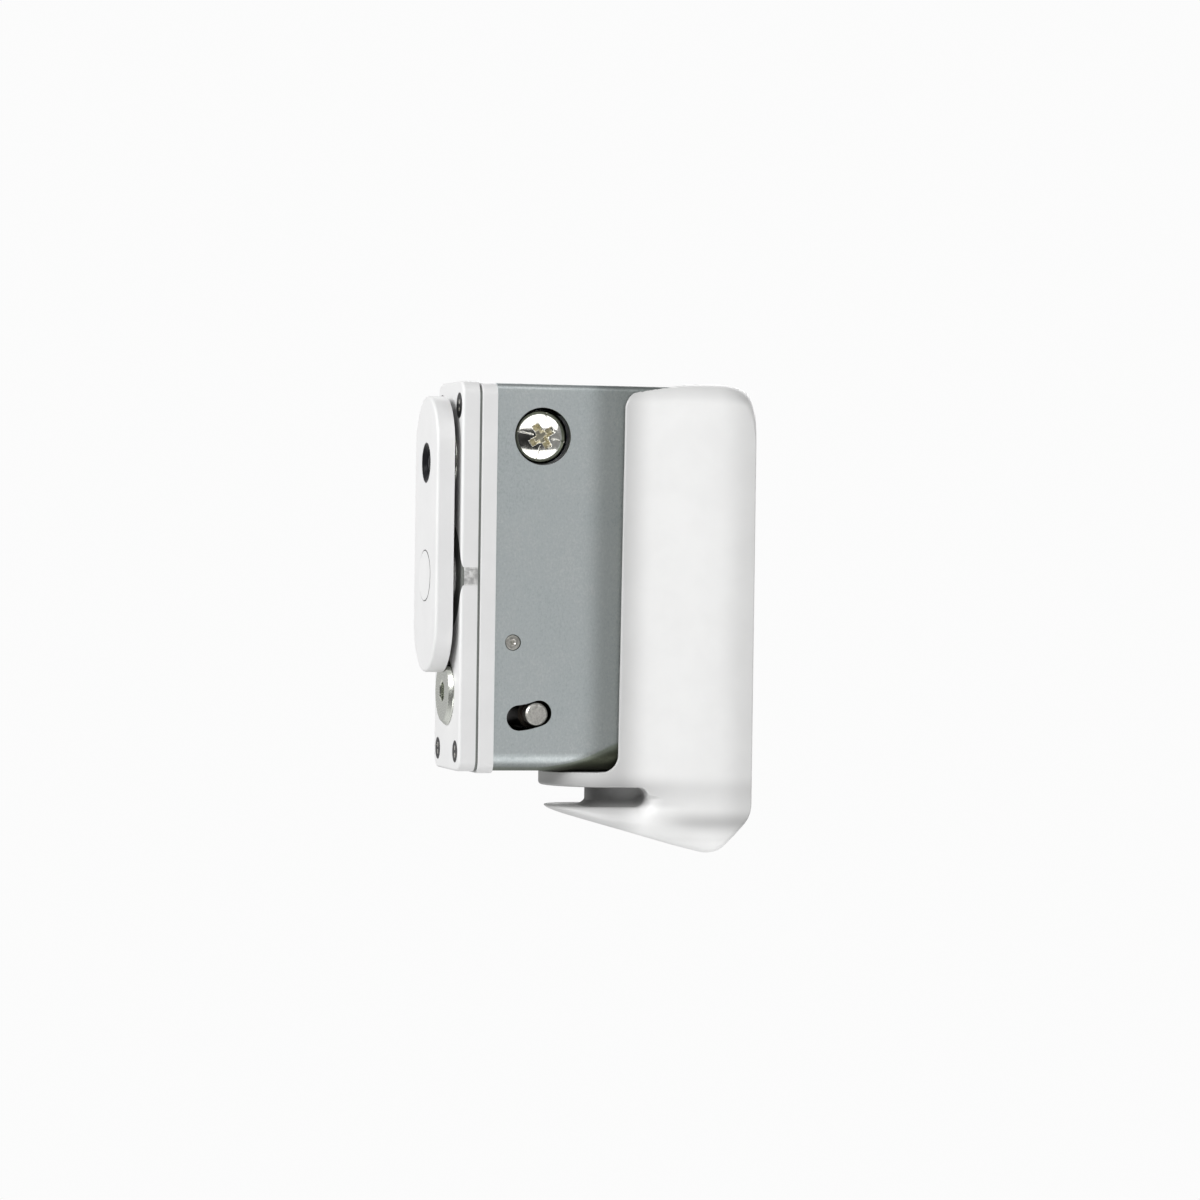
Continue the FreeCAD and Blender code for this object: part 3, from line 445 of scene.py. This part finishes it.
def cradle_white(name):
    """Satin white moulding, with light and shade painted into its colour.

    Painted shade darkens it at the front edge, on the tongue, in the groove, along the crease of
    the hull, near the wall and at the top. Painted light brightens the fin and the bottom edge of
    the hull.
    """
    mat, tree, shader = painted(name, *CRADLE_PAINT)
    x, y, z = axes_of(tree, position(tree))
    height = between_places(tree, z, *LOW_PART)
    low_light_and_shade = mixed(tree, between_places(tree, y, *LOW_FRONT_TO_REAR),
                     ramp(tree, height, LOW_FRONT_LIGHT_AND_SHADE), ramp(tree, height, LOW_REAR_LIGHT_AND_SHADE))
    # painted shade in the groove
    groove_shade = gathered(tree, "MULTIPLY",
                      between_places(tree, combined(tree, "ABSOLUTE", x), *GROOVE_HALF),
                      *[between_places(tree, z, *span) for span in GROOVE_SPAN_Z],
                      *[between_places(tree, y, *span) for span in GROOVE_SPAN_Y])
    # painted shade at the front edge, near the wall, at the top and in the groove
    shade = gathered(tree, "MULTIPLY",
                     between_places(tree, y, *CRADLE_FRONT_SHADE),
                     between_places(tree, y, *CRADLE_WALL_SHADE),
                     between_places(tree, z, *CRADLE_TOP_SHADE),
                     combined(tree, "SUBTRACT", 1.0, groove_shade))
    colour = tinted(tree, source_of(shader.inputs["Base Color"]), shade)
    tree.links.new(tinted(tree, colour, low_light_and_shade), shader.inputs["Base Color"])
    return mat


BUTTON_FLANGE = 0.0007  # how far the hidden flange stands out from the button
BUTTON_EDGE = (0.00016, 0.00008)  # inside the button's rim, where the painted shadow of its gap starts and is full
# colour of the shadow painted in the gap round the button
BUTTON_GAP_SHADE_COLOUR = (0.12, 0.12, 0.12)


def button_white(name):
    """Satin white, with the shadow of the gap painted dark on its side wall. It shows as a fine
    line round the button.
    """
    mat, tree, shader = painted(name, *BUTTON_PAINT)
    low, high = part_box("button_cap")
    x, _, z = axes_of(tree, position(tree))
    out = away(tree, x, combined(tree, "SUBTRACT", z, (low.z + high.z) / 2))
    rim = (high.z - low.z) / 2 - BUTTON_FLANGE
    start, full = BUTTON_EDGE
    # painted shadow of the gap round the button
    gap_shade = between_places(tree, out, rim - start, rim - full, 0.0, 1.0)
    colour = mixed(tree, gap_shade, source_of(shader.inputs["Base Color"]), BUTTON_GAP_SHADE_COLOUR)
    tree.links.new(colour, shader.inputs["Base Color"])
    return mat


def make_materials():
    """One material for each slot of the record, and one each for the cap bolts and the pin."""
    made = {"white_button": button_white("white_button"),
            "white_cradle": cradle_white("white_cradle"),
            "zinc_steel": galvanised("zinc_steel"),
            "polished_steel": screw_steel("polished_steel"),
            "black_screw": spanner_black("black_screw")}
    for name, values in PAINTED.items():
        made[name] = painted(name, *values)[0]
    for name, values in METALS.items():
        made[name] = metal(name, *values)[0]
    for name, values in MOULDED.items():
        made[name] = moulded(name, *values)
    return made


def finish_cad_nodes(materials):
    """Gives every CAD node the detailed material of its own slot."""
    for node in nodes.values():
        for index, old in enumerate(list(node.data.materials)):
            node.data.materials[index] = materials[old.name.split(".")[0]]


# ---- distance fields ------------------------------------------------------------------------
# A shape is a function of x, y and z arrays, in millimetres, that gives the distance to its
# surface, negative inside. Joining two with a radius rounds the edge or fillets the corner.
SHARP = 1e-6  # the radius of an edge that isn't rounded
FAR = 1e3


def both(a, b, radius=0.0):
    """What is inside a and inside b, with the edge between them rounded."""
    r = np.maximum(radius, SHARP)
    return np.minimum(np.maximum(a, b), -r) + np.hypot(np.maximum(a + r, 0), np.maximum(b + r, 0))


def either(a, b, radius=0.0):
    """What is inside a or inside b, with the inner corner between them filleted."""
    return -both(-a, -b, radius)


def minus(a, b, radius=0.0):
    """What is inside a and outside b, with the edge between them rounded."""
    return both(a, -b, radius)


def between(value, low, high):
    return np.maximum(low - value, value - high)


def smooth_step(value, start, end):
    t = np.clip((value - start) / (end - start), 0, 1)
    return t * t * (3 - 2 * t)


def oval_fall(along, length, height, limit):
    """How far a quarter oval has fallen at a place along it, and its slope there."""
    t = np.clip(along / length, 0, limit)
    left = np.sqrt(1 - t ** 2)
    return height * (1 - left), height / length * t / left


def tilted(y, z, at_y, at_z, degrees):
    """Distance in front of a plane through a point, whose normal leans that far from +y to +z."""
    a = math.radians(degrees)
    return (y - at_y) * math.cos(a) + (z - at_z) * math.sin(a)


def turned(u, w, angle):
    return u * math.cos(angle) + w * math.sin(angle), w * math.cos(angle) - u * math.sin(angle)


def slope_of(field, points, reach=0.02):
    """Unit normals of a field at points, by central differences."""
    normals = np.empty_like(points)
    for axis in range(3):
        step = np.zeros(3)
        step[axis] = reach
        normals[:, axis] = field(*(points + step).T) - field(*(points - step).T)
    return normals / np.maximum(np.linalg.norm(normals, axis=1, keepdims=True), 1e-9)


def settle(field, points, rounds=3):
    """Moves points along the normals onto the surface of a field."""
    for _ in range(rounds):
        points = points - slope_of(field, points) * field(*points.T)[:, None]
    return points


def skin(field, low, high, step):
    """The surface of a field as points and quads, by one point in each cell that it crosses."""
    low, high = np.array(low, float), np.array(high, float)
    axes = [np.arange(low[i], high[i] + step, step) for i in range(3)]
    values = field(*np.meshgrid(*axes, indexing="ij"))
    cells = np.array(values.shape) - 1
    total = np.zeros((*cells, 3))
    hits = np.zeros(cells, int)
    rings = []
    for axis in range(3):
        first = np.take(values, range(cells[axis]), axis)
        second = np.take(values, range(1, cells[axis] + 1), axis)
        crossing = (first < 0) != (second < 0)
        where = np.argwhere(crossing)
        share = first[crossing] / (first[crossing] - second[crossing])
        unit = np.eye(3, dtype=int)
        point = low + step * (where + share[:, None] * unit[axis])
        u, v = unit[(axis + 1) % 3], unit[(axis + 2) % 3]
        ring = [where - u - v, where - v, where, where - u]
        for corner in ring:
            np.add.at(total, tuple(corner.T), point)
            np.add.at(hits, tuple(corner.T), 1)
        ring = np.stack(ring, 1)
        outward = first[crossing] < 0
        rings.append(np.where(outward[:, None, None], ring, ring[:, ::-1]))
    used = hits > 0
    number = np.full(hits.shape, -1)
    number[used] = np.arange(used.sum())
    points = total[used] / hits[used][:, None]
    quads = number[tuple(np.moveaxis(np.concatenate(rings), 2, 0))]
    return points, quads


def solid_from_field(name, field, boxes, step, share=1.0):
    """A mesh object of a field: its points lie on the surface and take their normals from it.

    boxes are the low and high corners of the places to look in. share below 1 thins out the
    faces where the surface is flat. Everything is in millimetres.
    """
    points, quads = np.empty((0, 3)), np.empty((0, 4), int)
    for low, high in boxes:
        more, faces = skin(field, low, high, step)
        quads = np.concatenate([quads, faces + len(points)])
        points = np.concatenate([points, more])
    points = settle(field, points)
    data = bpy.data.meshes.new(name)
    data.from_pydata(points.tolist(), [], quads.tolist())
    obj = bpy.data.objects.new(name, data)
    scene.collection.objects.link(obj)
    if share < 1:
        thin = obj.modifiers.new("thin", "DECIMATE")
        thin.ratio = share
        depsgraph = bpy.context.evaluated_depsgraph_get()
        data = bpy.data.meshes.new_from_object(obj.evaluated_get(depsgraph))
        obj.modifiers.clear()
        obj.data = data
        data.name = name
    places = np.empty(len(data.vertices) * 3)
    data.vertices.foreach_get("co", places)
    places = settle(field, places.reshape(-1, 3), 2)
    normals = slope_of(field, places, 0.03)
    data.vertices.foreach_set("co", ((places + np.array((0, RIM_Y, PLATE_Z))) * MM).ravel())
    data.polygons.foreach_set("use_smooth", np.ones(len(data.polygons), bool))
    data.update()
    data.normals_split_custom_set_from_vertices(normals.tolist())
    return obj


def stand_in(piece, node, material):
    """Puts a piece in a CAD node's place, on the body that everything fixed is on."""
    piece.data.materials.append(material)
    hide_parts(node)
    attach(piece, "wall_unit")


# ---- cradle ---------------------------------------------------------------------------------
# In millimetres: x from the middle plane, y back from the rim, and z up from the plates' centre.
WALL = -RIM_Y
CRADLE_TOP = 49.15
CRADLE_FLOOR = -48.8
NOSE_R = 15.0
NOSE_Y = 30.5
FLARE = 4.3  # how much wider the cradle gets on each side
FLARE_SPAN = (31.0, 62.0)
TOP_EDGE_R = 5.5
CREST_Y, CREST_LENGTH, CREST_DROP = 56.8, 9.0, 4.4  # the top's fall towards the wall
CREASE_LOW, CREASE_RISE = -59.9, 2.9  # where the sides turn in to the fin; higher in front
CREASE_LEVEL_Y, CREASE_REACH = 40.0, 23.0
KEEL_Y, KEEL_Z, KEEL_SLOPE, KEEL_END = 52.9, -68.60, 0.2786, 57.0
HULL_FULLNESS, HULL_LEAST = 1.18, 1.6
HULL_TURN_IN, HULL_TURN_GROWTH, HULL_TURN_SPAN = 5.5, 2.0, (25.0, 45.0)
UNDER_PLANE = (KEEL_Y, KEEL_Z, -90 - 15.57)  # a point on it and its tilt in degrees
BEVEL_PLANE = (61.45, -64.9, -40.9)

CHEEK_FRONT, CHEEK_LEAN, CHEEK_R = 32.4, 0.35 / 48, 4.3
SHOULDER_Y, SHOULDER_Z, SHOULDER_SLOPE = 37.0, 47.35, 0.14
TONGUE_LOW, GROOVE_LOW, GROOVE_REAR = -52.6, -57.7, 39.9
WEB_HALF, WEB_FRONT, WEB_R = 8.2, 27.6, 7.4
POCKET_HALF, POCKET_BACK = 14.05, 48.3
SEAT_HALF = 6.1
KEEPER_SEAT_Y, KEEPER_SEAT_REACH, KEEPER_SEAT_Z = 28.0, 9.5, -50.32
HOOK_SEAT_Y, HOOK_SEAT_SPAN = 49.52, (5.4, 28.5)
HOLLOW_HALF, HOLLOW_FRONT, HOLLOW_SPAN = 15.2, 53.5, (-52.0, 40.0)
RIB_HALF = 0.9
WALL_HOLES = (-30.0, 30.0)  # heights of the wall screws above the wall face's centre
BOSS_R, SINK_R, WALL_HOLE_R = 6.0, 4.4, 2.25
CRADLE_BOX = ((-20.2, 14.6, -70.4), (20.2, 66.6, 50.0))


def cradle_plan(x, y):
    """Distance to the outline seen from above: a round nose, then sides that flare."""
    start, end = FLARE_SPAN
    wide = NOSE_R + FLARE * smooth_step(y, start, end)
    t = np.clip((y - start) / (end - start), 0, 1)
    lean = FLARE / (end - start) * 6 * t * (1 - t)
    sides = (np.abs(x) - wide) / np.sqrt(1 + lean ** 2)
    nose = np.hypot(x, y - NOSE_Y) - NOSE_R
    return np.where(y < NOSE_Y, nose, sides)


def cradle_body(x, y, z):
    """Outer form, before anything is cut out of it."""
    plan = cradle_plan(x, y)
    drop, lean = oval_fall(y - CREST_Y, CREST_LENGTH, CREST_DROP, 0.97)
    body = both(plan, (z - CRADLE_TOP + drop) / np.sqrt(1 + lean ** 2), TOP_EDGE_R)
    # the sides turn in below the crease, down to the keel and the bevel behind it
    forward = np.clip((CREASE_LEVEL_Y - y) / CREASE_REACH, 0, 1)
    crease = CREASE_LOW + CREASE_RISE * forward ** 2
    keel = KEEL_Z + (KEEL_Y - np.minimum(y, KEEL_END)) * KEEL_SLOPE
    tall = np.maximum(HULL_FULLNESS * (crease - keel), HULL_LEAST)
    wide = HULL_TURN_IN + HULL_TURN_GROWTH * smooth_step(y, *HULL_TURN_SPAN)
    inset, lean = oval_fall(crease - z, tall, wide, 0.985)
    hull = (plan + inset) / np.sqrt(1 + lean ** 2)
    bevel = tilted(y, z, *BEVEL_PLANE)
    low = both(tilted(y, z, *UNDER_PLANE), bevel, 3.0)
    body = both(np.maximum(body, hull), low, 1.1)
    rear = both(y - WALL, bevel, 2.0)
    return both(body, rear, 0.3 + 0.9 * smooth_step(z, 41.0, 44.0))


def tongue_gap(x, y, z):
    """The gap under the tongue, rounded at its rear end, with a web left in the middle."""
    gap = both(z - TONGUE_LOW, GROOVE_LOW - z)
    gap = both(gap, y - GROOVE_REAR, (TONGUE_LOW - GROOVE_LOW) / 2)
    web = both(np.abs(x) - WEB_HALF, WEB_FRONT - y, WEB_R)
    return minus(gap, web, 0.3 + 2.2 * smooth_step(z, -54.6, -57.4))


def gap_edge_radius(y, z):
    """How round the gap's edges are: sharp along the tongue, softer below and to the rear."""
    low_side = smooth_step(z, -54.0, -55.5)
    upper = 0.5 * (1 - low_side) * (1 - smooth_step(y, 19, 27))
    lower = low_side * (1.0 + 2.7 * smooth_step(y, 18, 31))
    return 0.35 + upper + lower


def rear_hollow(x, y, z):
    """The hollow behind, with its rib and its screw bosses, and the holes through the bosses."""
    hollow = both(np.abs(x) - HOLLOW_HALF, between(z, *HOLLOW_SPAN), 3.0)
    hollow = both(hollow, HOLLOW_FRONT - y, 0.5)
    level = z + PLATE_Z
    hollow = minus(hollow, np.abs(level) - RIB_HALF, 0.4)
    holes = np.full_like(x, FAR)
    for height in WALL_HOLES:
        radius = np.hypot(x, level - height)
        hollow = minus(hollow, radius - BOSS_R, 0.4)
        sink = (radius - SINK_R + (y - POCKET_BACK)) * math.sqrt(0.5)
        sink = np.maximum(sink, POCKET_BACK - 1 - y)
        holes = np.minimum(holes, np.minimum(radius - WALL_HOLE_R, sink))
    return hollow, holes


def cradle_field(x, y, z):
    body = cradle_body(x, y, z)
    # the cheeks' front edge and the tongue's floor
    shoulder = z - SHOULDER_Z - SHOULDER_SLOPE * (y - SHOULDER_Y)
    front = both(CHEEK_FRONT + CHEEK_LEAN * z - y, shoulder / math.hypot(1, SHOULDER_SLOPE),
                 CHEEK_R)
    front = either(front, z - CRADLE_FLOOR, CHEEK_R)
    body = both(body, front, 0.3)
    body = minus(body, tongue_gap(x, y, z), gap_edge_radius(y, z))
    # the pocket that holds the housing, and the seats of the keeper and of the hook plate
    side = np.abs(x)
    pocket = np.maximum(np.maximum(side - POCKET_HALF, y - POCKET_BACK), CRADLE_FLOOR - z)
    keeper = np.maximum(np.maximum(side - SEAT_HALF, np.abs(y - KEEPER_SEAT_Y) - KEEPER_SEAT_REACH),
                        KEEPER_SEAT_Z - z)
    hook = np.maximum(np.maximum(side - SEAT_HALF, y - HOOK_SEAT_Y), between(z, *HOOK_SEAT_SPAN))
    body = minus(minus(minus(body, pocket, 0.3), keeper), hook)
    hollow, holes = rear_hollow(x, y, z)
    return minus(minus(body, hollow, 0.4), holes, 0.15)


# ---- hardware -------------------------------------------------------------------------------
SCREW_Y, SCREW_Z = 11.7, 35.2
SCREW_TURN = math.radians(33)
SCREW_HEAD_R, SCREW_SEAT_X, SCREW_TOP_X = 6.78, 10.2, 13.1
SCREW_DOME_X, SCREW_DOME_R = -2.2, 15.3
RECESS_FLOOR = 2.6  # the recess's depth; its arms and its heart get smaller with depth
ARM_HALF, ARM_HALF_TAPER = 0.92, 0.10
ARM_LENGTH, ARM_LENGTH_TAPER = 3.85, 0.85
HEART_R, HEART_TAPER = 1.7, 0.55
TICK_HALF, TICK_DEPTH, TICK_SPAN = 0.13, 0.16, (2.4, 6.1)
SHANK_R = 3.0

BOLT_RISE = 29.1
BOLT_FRONT, BOLT_SEAT = -10.3, -8.95
BOLT_HEAD_R, BOLT_FLAT_R = 8.5, 7.45
SOCKET_FLOOR, SOCKET_HALF = -7.1, 2.5
SOCKET_MOUTH, SOCKET_MOUTH_SLOPE = 0.35, 0.35
BOLT_ENDS = (9.0, 2.6)  # how far back the upper and the lower shank reach

LENS_Z = 28.35
LENS_FRONT, LENS_BACK, LENS_RING_R = -15.02, -13.65, 5.05
BARREL_R, BARREL_TAPER, BARREL_DEPTH = 4.75, 1.3, 0.95
BARREL_STEP, BARREL_STEP_HEIGHT = 0.28, 0.05
DOME_DEPTH, DOME_R, DOME_RIM_R, DOME_BACK = 6.2, 5.65, 3.3, 1.3

PIVOT_Y, PIVOT_Z = 4.7, -16.4
PIVOT_HALF, PIVOT_R, PIVOT_FACE_R = 13.75, 2.0, 1.68
DIMPLE_R, DIMPLE_DEPTH = 0.75, 0.8


def side_screw_field(x, y, z):
    """Domed head with a deep cross recess, and a shallow tick between each two arms."""
    u, w = y - SCREW_Y, z - SCREW_Z
    r = np.hypot(u, w)
    dome = np.hypot(x - SCREW_DOME_X, r) - SCREW_DOME_R
    head = both(both(r - SCREW_HEAD_R, SCREW_SEAT_X - x, 0.15), dome, 0.25)
    depth = SCREW_TOP_X - x
    for turn in (0, math.pi / 2):
        p, q = turned(u, w, SCREW_TURN + turn)
        arm = both(np.abs(q) - (ARM_HALF - ARM_HALF_TAPER * depth),
                   np.abs(p) - (ARM_LENGTH - ARM_LENGTH_TAPER * depth), 0.1)
        head = minus(head, both(arm, depth - RECESS_FLOOR, 0.1), 0.07)
        p, q = turned(u, w, SCREW_TURN + turn + math.pi / 4)
        tick = np.maximum(np.abs(q) - TICK_HALF, between(np.abs(p), *TICK_SPAN))
        head = minus(head, np.maximum(tick, -TICK_DEPTH - dome), 0.05)
    heart = (r - HEART_R + HEART_TAPER * depth) / math.hypot(1, HEART_TAPER)
    head = minus(head, heart, 0.1)
    shank = both(r - SHANK_R, between(x, 4.6, 10.6), 0.3)
    return either(head, shank, 0.2)


def cap_bolt_field(x, y, z):
    """Low wide heads with a bevelled rim and a hexagon socket, above and below the centre."""
    rise = np.abs(z) - BOLT_RISE
    r = np.hypot(x, rise)
    front = BOLT_FRONT - y
    bevel = (r - BOLT_FLAT_R + front) * math.sqrt(0.5)
    head = both(both(bevel, front, 0.20), r - BOLT_HEAD_R, 0.12)
    head = both(head, y - BOLT_SEAT, 0.05)
    wider = SOCKET_MOUTH_SLOPE * np.maximum(front + SOCKET_MOUTH, 0)
    socket = y - SOCKET_FLOOR
    for turn in range(3):
        _, q = turned(x, rise, math.radians(60 * turn + 30))
        socket = np.maximum(socket, np.abs(q) - SOCKET_HALF - wider)
    shank = both(r - SHANK_R, y - np.where(z > 0, *BOLT_ENDS), 0.4)
    return minus(either(head, np.maximum(shank, -9.5 - y), 0.1), socket, 0.14)


def lens_field(x, y, z):
    """A black ring flush with the face, a stepped barrel and a small domed lens in it."""
    r = np.hypot(x, z - LENS_Z)
    depth = y - LENS_FRONT
    steps = BARREL_STEP_HEIGHT * np.cos(2 * math.pi * depth / BARREL_STEP)
    barrel = (r - BARREL_R + BARREL_TAPER * depth + steps) / math.hypot(1, BARREL_TAPER)
    body = both(both(r - LENS_RING_R, -depth, 0.12), y - LENS_BACK, 0.05)
    body = minus(body, np.maximum(barrel, depth - BARREL_DEPTH), 0.06)
    lens = both(np.hypot(depth - DOME_DEPTH, r) - DOME_R, r - DOME_RIM_R, 0.05)
    return either(body, np.maximum(lens, depth - DOME_BACK), 0.03)


def pivot_pin_field(x, y, z):
    """Plain pin with chamfered ends and a centre dimple in each."""
    r = np.hypot(y - PIVOT_Y, z - PIVOT_Z)
    end = np.abs(x) - PIVOT_HALF
    chamfer = (r + end - PIVOT_FACE_R) * math.sqrt(0.5)
    pin = both(both(r - PIVOT_R, end, 0.05), chamfer, 0.05)
    dimple = (r - DIMPLE_R - end) * math.sqrt(0.5)
    return minus(pin, both(dimple, -end - DIMPLE_DEPTH), 0.05)


# The corners of the boxes that the small pieces are looked for in.
SCREW_BOXES = [((4.2, SCREW_Y - 6.8, SCREW_Z - 6.8), (13.5, SCREW_Y + 6.8, SCREW_Z + 6.8))]
BOLT_BOXES = [((-8.8, -10.6, BOLT_RISE - 8.8), (8.8, 9.4, BOLT_RISE + 8.8)),
              ((-8.8, -10.6, -BOLT_RISE - 8.8), (8.8, 3.0, 8.8 - BOLT_RISE))]
LENS_BOXES = [((-5.3, -15.3, LENS_Z - 5.3), (5.3, -13.4, LENS_Z + 5.3))]
PIVOT_BOXES = [((-14.1, PIVOT_Y - 2.3, PIVOT_Z - 2.3), (14.1, PIVOT_Y + 2.3, PIVOT_Z + 2.3))]


def make_pieces(materials):
    """The pieces that stand in for CAD nodes."""
    cradle = solid_from_field("cradle_body", cradle_field, [CRADLE_BOX], 0.36, 0.35)
    stand_in(cradle, "cradle", materials["white_cradle"])
    screw = solid_from_field("side_screw_body", side_screw_field, SCREW_BOXES, 0.16)
    stand_in(screw, "side_screw", materials["polished_steel"])
    bolts = solid_from_field("cap_bolt_pair", cap_bolt_field, BOLT_BOXES, 0.17)
    stand_in(bolts, "cap_bolts", materials["cap_steel"])
    lens = solid_from_field("lens_barrel", lens_field, LENS_BOXES, 0.10)
    stand_in(lens, "lens_window", materials["dark_glass"])
    pin = solid_from_field("pivot_pin_body", pivot_pin_field, PIVOT_BOXES, 0.16)
    stand_in(pin, "pivot_pin", materials["pin_steel"])


# ---- studio ---------------------------------------------------------------------------------
WORLD_STRENGTH = 0.75
BACKDROP = 0.97  # what the camera sees behind the object

# Light by direction: start and end in a direction's x, y or z, and the levels there.
FRONT_GLOW = (0.2, -0.75, 0.44, 0.9)
LEFT_GLOW = (-0.15, -0.55, 0.0, 1.0)
REAR_GLOW = (-0.1, 0.4, 0.0, 0.8)
RISING_GLOW = (-0.10, 0.30, 0.30, 1.0)
ZENITH_DIM = (0.45, 0.85, 1.0, 0.55)
TABLE_GLOW = (-0.30, -0.75, 0.0, 1.0)
ROOM_SIDE = (0.95, -0.30, 0.08)
ROOM_DIM = (0.55, 0.90, 1.0, 0.15)  # by the cosine to that side

LIGHT_AIM = (0, -0.03, 0)
LIGHTS = [  # name, place, width and height, watts
    ("upper_box", (0.78, 0.0, 0.52), (1.6, 0.46), 4.4),
    ("lower_box", (0.76, 0.0, -0.56), (1.6, 0.46), 4.45),
    ("key", (0.22, -1.0, 0.50), (0.7, 0.5), 9.4),
    ("rear_fill", (-0.66, 0.52, 0.44), (0.9, 0.6), 5.5),
]

FLOOR_RADIUS, FLOOR_DROP, FLOOR_SIDES = 4.0, 1.0, 96
FLOOR_FADE = [(0.15, 1.0), (0.55, 0.0)]  # share of the radius, and how solid it is there


def make_world():
    """A plain light backdrop, and light from the front, the left and behind and from a table.

    The room is dim on the +X side. The table is the light that comes from below.
    """
    world = bpy.data.worlds.new("studio")
    world.use_nodes = True
    scene.world = world
    tree = world.node_tree
    tree.nodes.clear()
    out = tree.nodes.new("ShaderNodeOutputWorld")
    seen = tree.nodes.new("ShaderNodeBackground")
    seen.inputs["Color"].default_value = (1, 1, 1, 1)
    seen.inputs["Strength"].default_value = BACKDROP
    lit = tree.nodes.new("ShaderNodeBackground")
    lit.inputs["Strength"].default_value = WORLD_STRENGTH
    towards = tree.nodes.new("ShaderNodeTexCoord").outputs["Generated"]
    x, y, z = axes_of(tree, towards)
    level = gathered(tree, "MAXIMUM", between_places(tree, x, *LEFT_GLOW),
                     between_places(tree, y, *REAR_GLOW), between_places(tree, z, *RISING_GLOW))
    room = tree.nodes.new("ShaderNodeVectorMath")
    room.operation = "DOT_PRODUCT"
    room.inputs[1].default_value = Vector(ROOM_SIDE).normalized()
    tree.links.new(towards, room.inputs[0])
    upper = gathered(tree, "MULTIPLY", level, between_places(tree, z, *ZENITH_DIM),
                     between_places(tree, y, *FRONT_GLOW),
                     between_places(tree, room.outputs["Value"], *ROOM_DIM))
    table = between_places(tree, z, *TABLE_GLOW)
    rest = combined(tree, "MULTIPLY", upper, combined(tree, "SUBTRACT", 1.0, table))
    tree.links.new(combined(tree, "ADD", table, rest), lit.inputs["Color"])
    path = tree.nodes.new("ShaderNodeLightPath")
    mix = tree.nodes.new("ShaderNodeMixShader")
    tree.links.new(path.outputs["Is Camera Ray"], mix.inputs[0])
    tree.links.new(lit.outputs[0], mix.inputs[1])
    tree.links.new(seen.outputs[0], mix.inputs[2])
    tree.links.new(mix.outputs[0], out.inputs[0])


def make_light(name, place, size, watts):
    data = bpy.data.lights.new(name, "AREA")
    data.shape = "RECTANGLE"
    data.size, data.size_y = size
    data.energy = watts
    light = bpy.data.objects.new(name, data)
    scene.collection.objects.link(light)
    light.location = place
    light.rotation_euler = (Vector(LIGHT_AIM) - Vector(place)).to_track_quat("-Z", "Y").to_euler()
    light.visible_camera = False


def make_floor():
    """A plain pale floor well below the object; it fades out before its edge."""
    mesh = bmesh.new()
    bmesh.ops.create_circle(mesh, cap_ends=True, segments=FLOOR_SIDES, radius=FLOOR_RADIUS)
    data = bpy.data.meshes.new("floor")
    mesh.to_mesh(data)
    mesh.free()
    floor = bpy.data.objects.new("floor", data)
    scene.collection.objects.link(floor)
    floor.location = (0, 0, cad_low.z - FLOOR_DROP)
    mat, tree, shader = new_material("pale_floor")
    where = position(tree)
    tree.links.new(noisy(tree, grain(tree, where, 30), 0.90, 0.92), shader.inputs["Base Color"])
    shader.inputs["Roughness"].default_value = 0.8
    length = tree.nodes.new("ShaderNodeVectorMath")
    length.operation = "LENGTH"
    tree.links.new(where, length.inputs[0])
    outward = combined(tree, "DIVIDE", length.outputs["Value"], FLOOR_RADIUS)
    tree.links.new(ramp(tree, outward, FLOOR_FADE), shader.inputs["Alpha"])
    data.materials.append(mat)
    floor.visible_diffuse = False
    floor.visible_glossy = False


def make_studio():
    make_world()
    make_floor()
    for light in LIGHTS:
        make_light(*light)
    scene.view_settings.view_transform = "Standard"


# ---- build ----------------------------------------------------------------------------------
materials = make_materials()
finish_cad_nodes(materials)
make_pieces(materials)
make_camera()
make_studio()
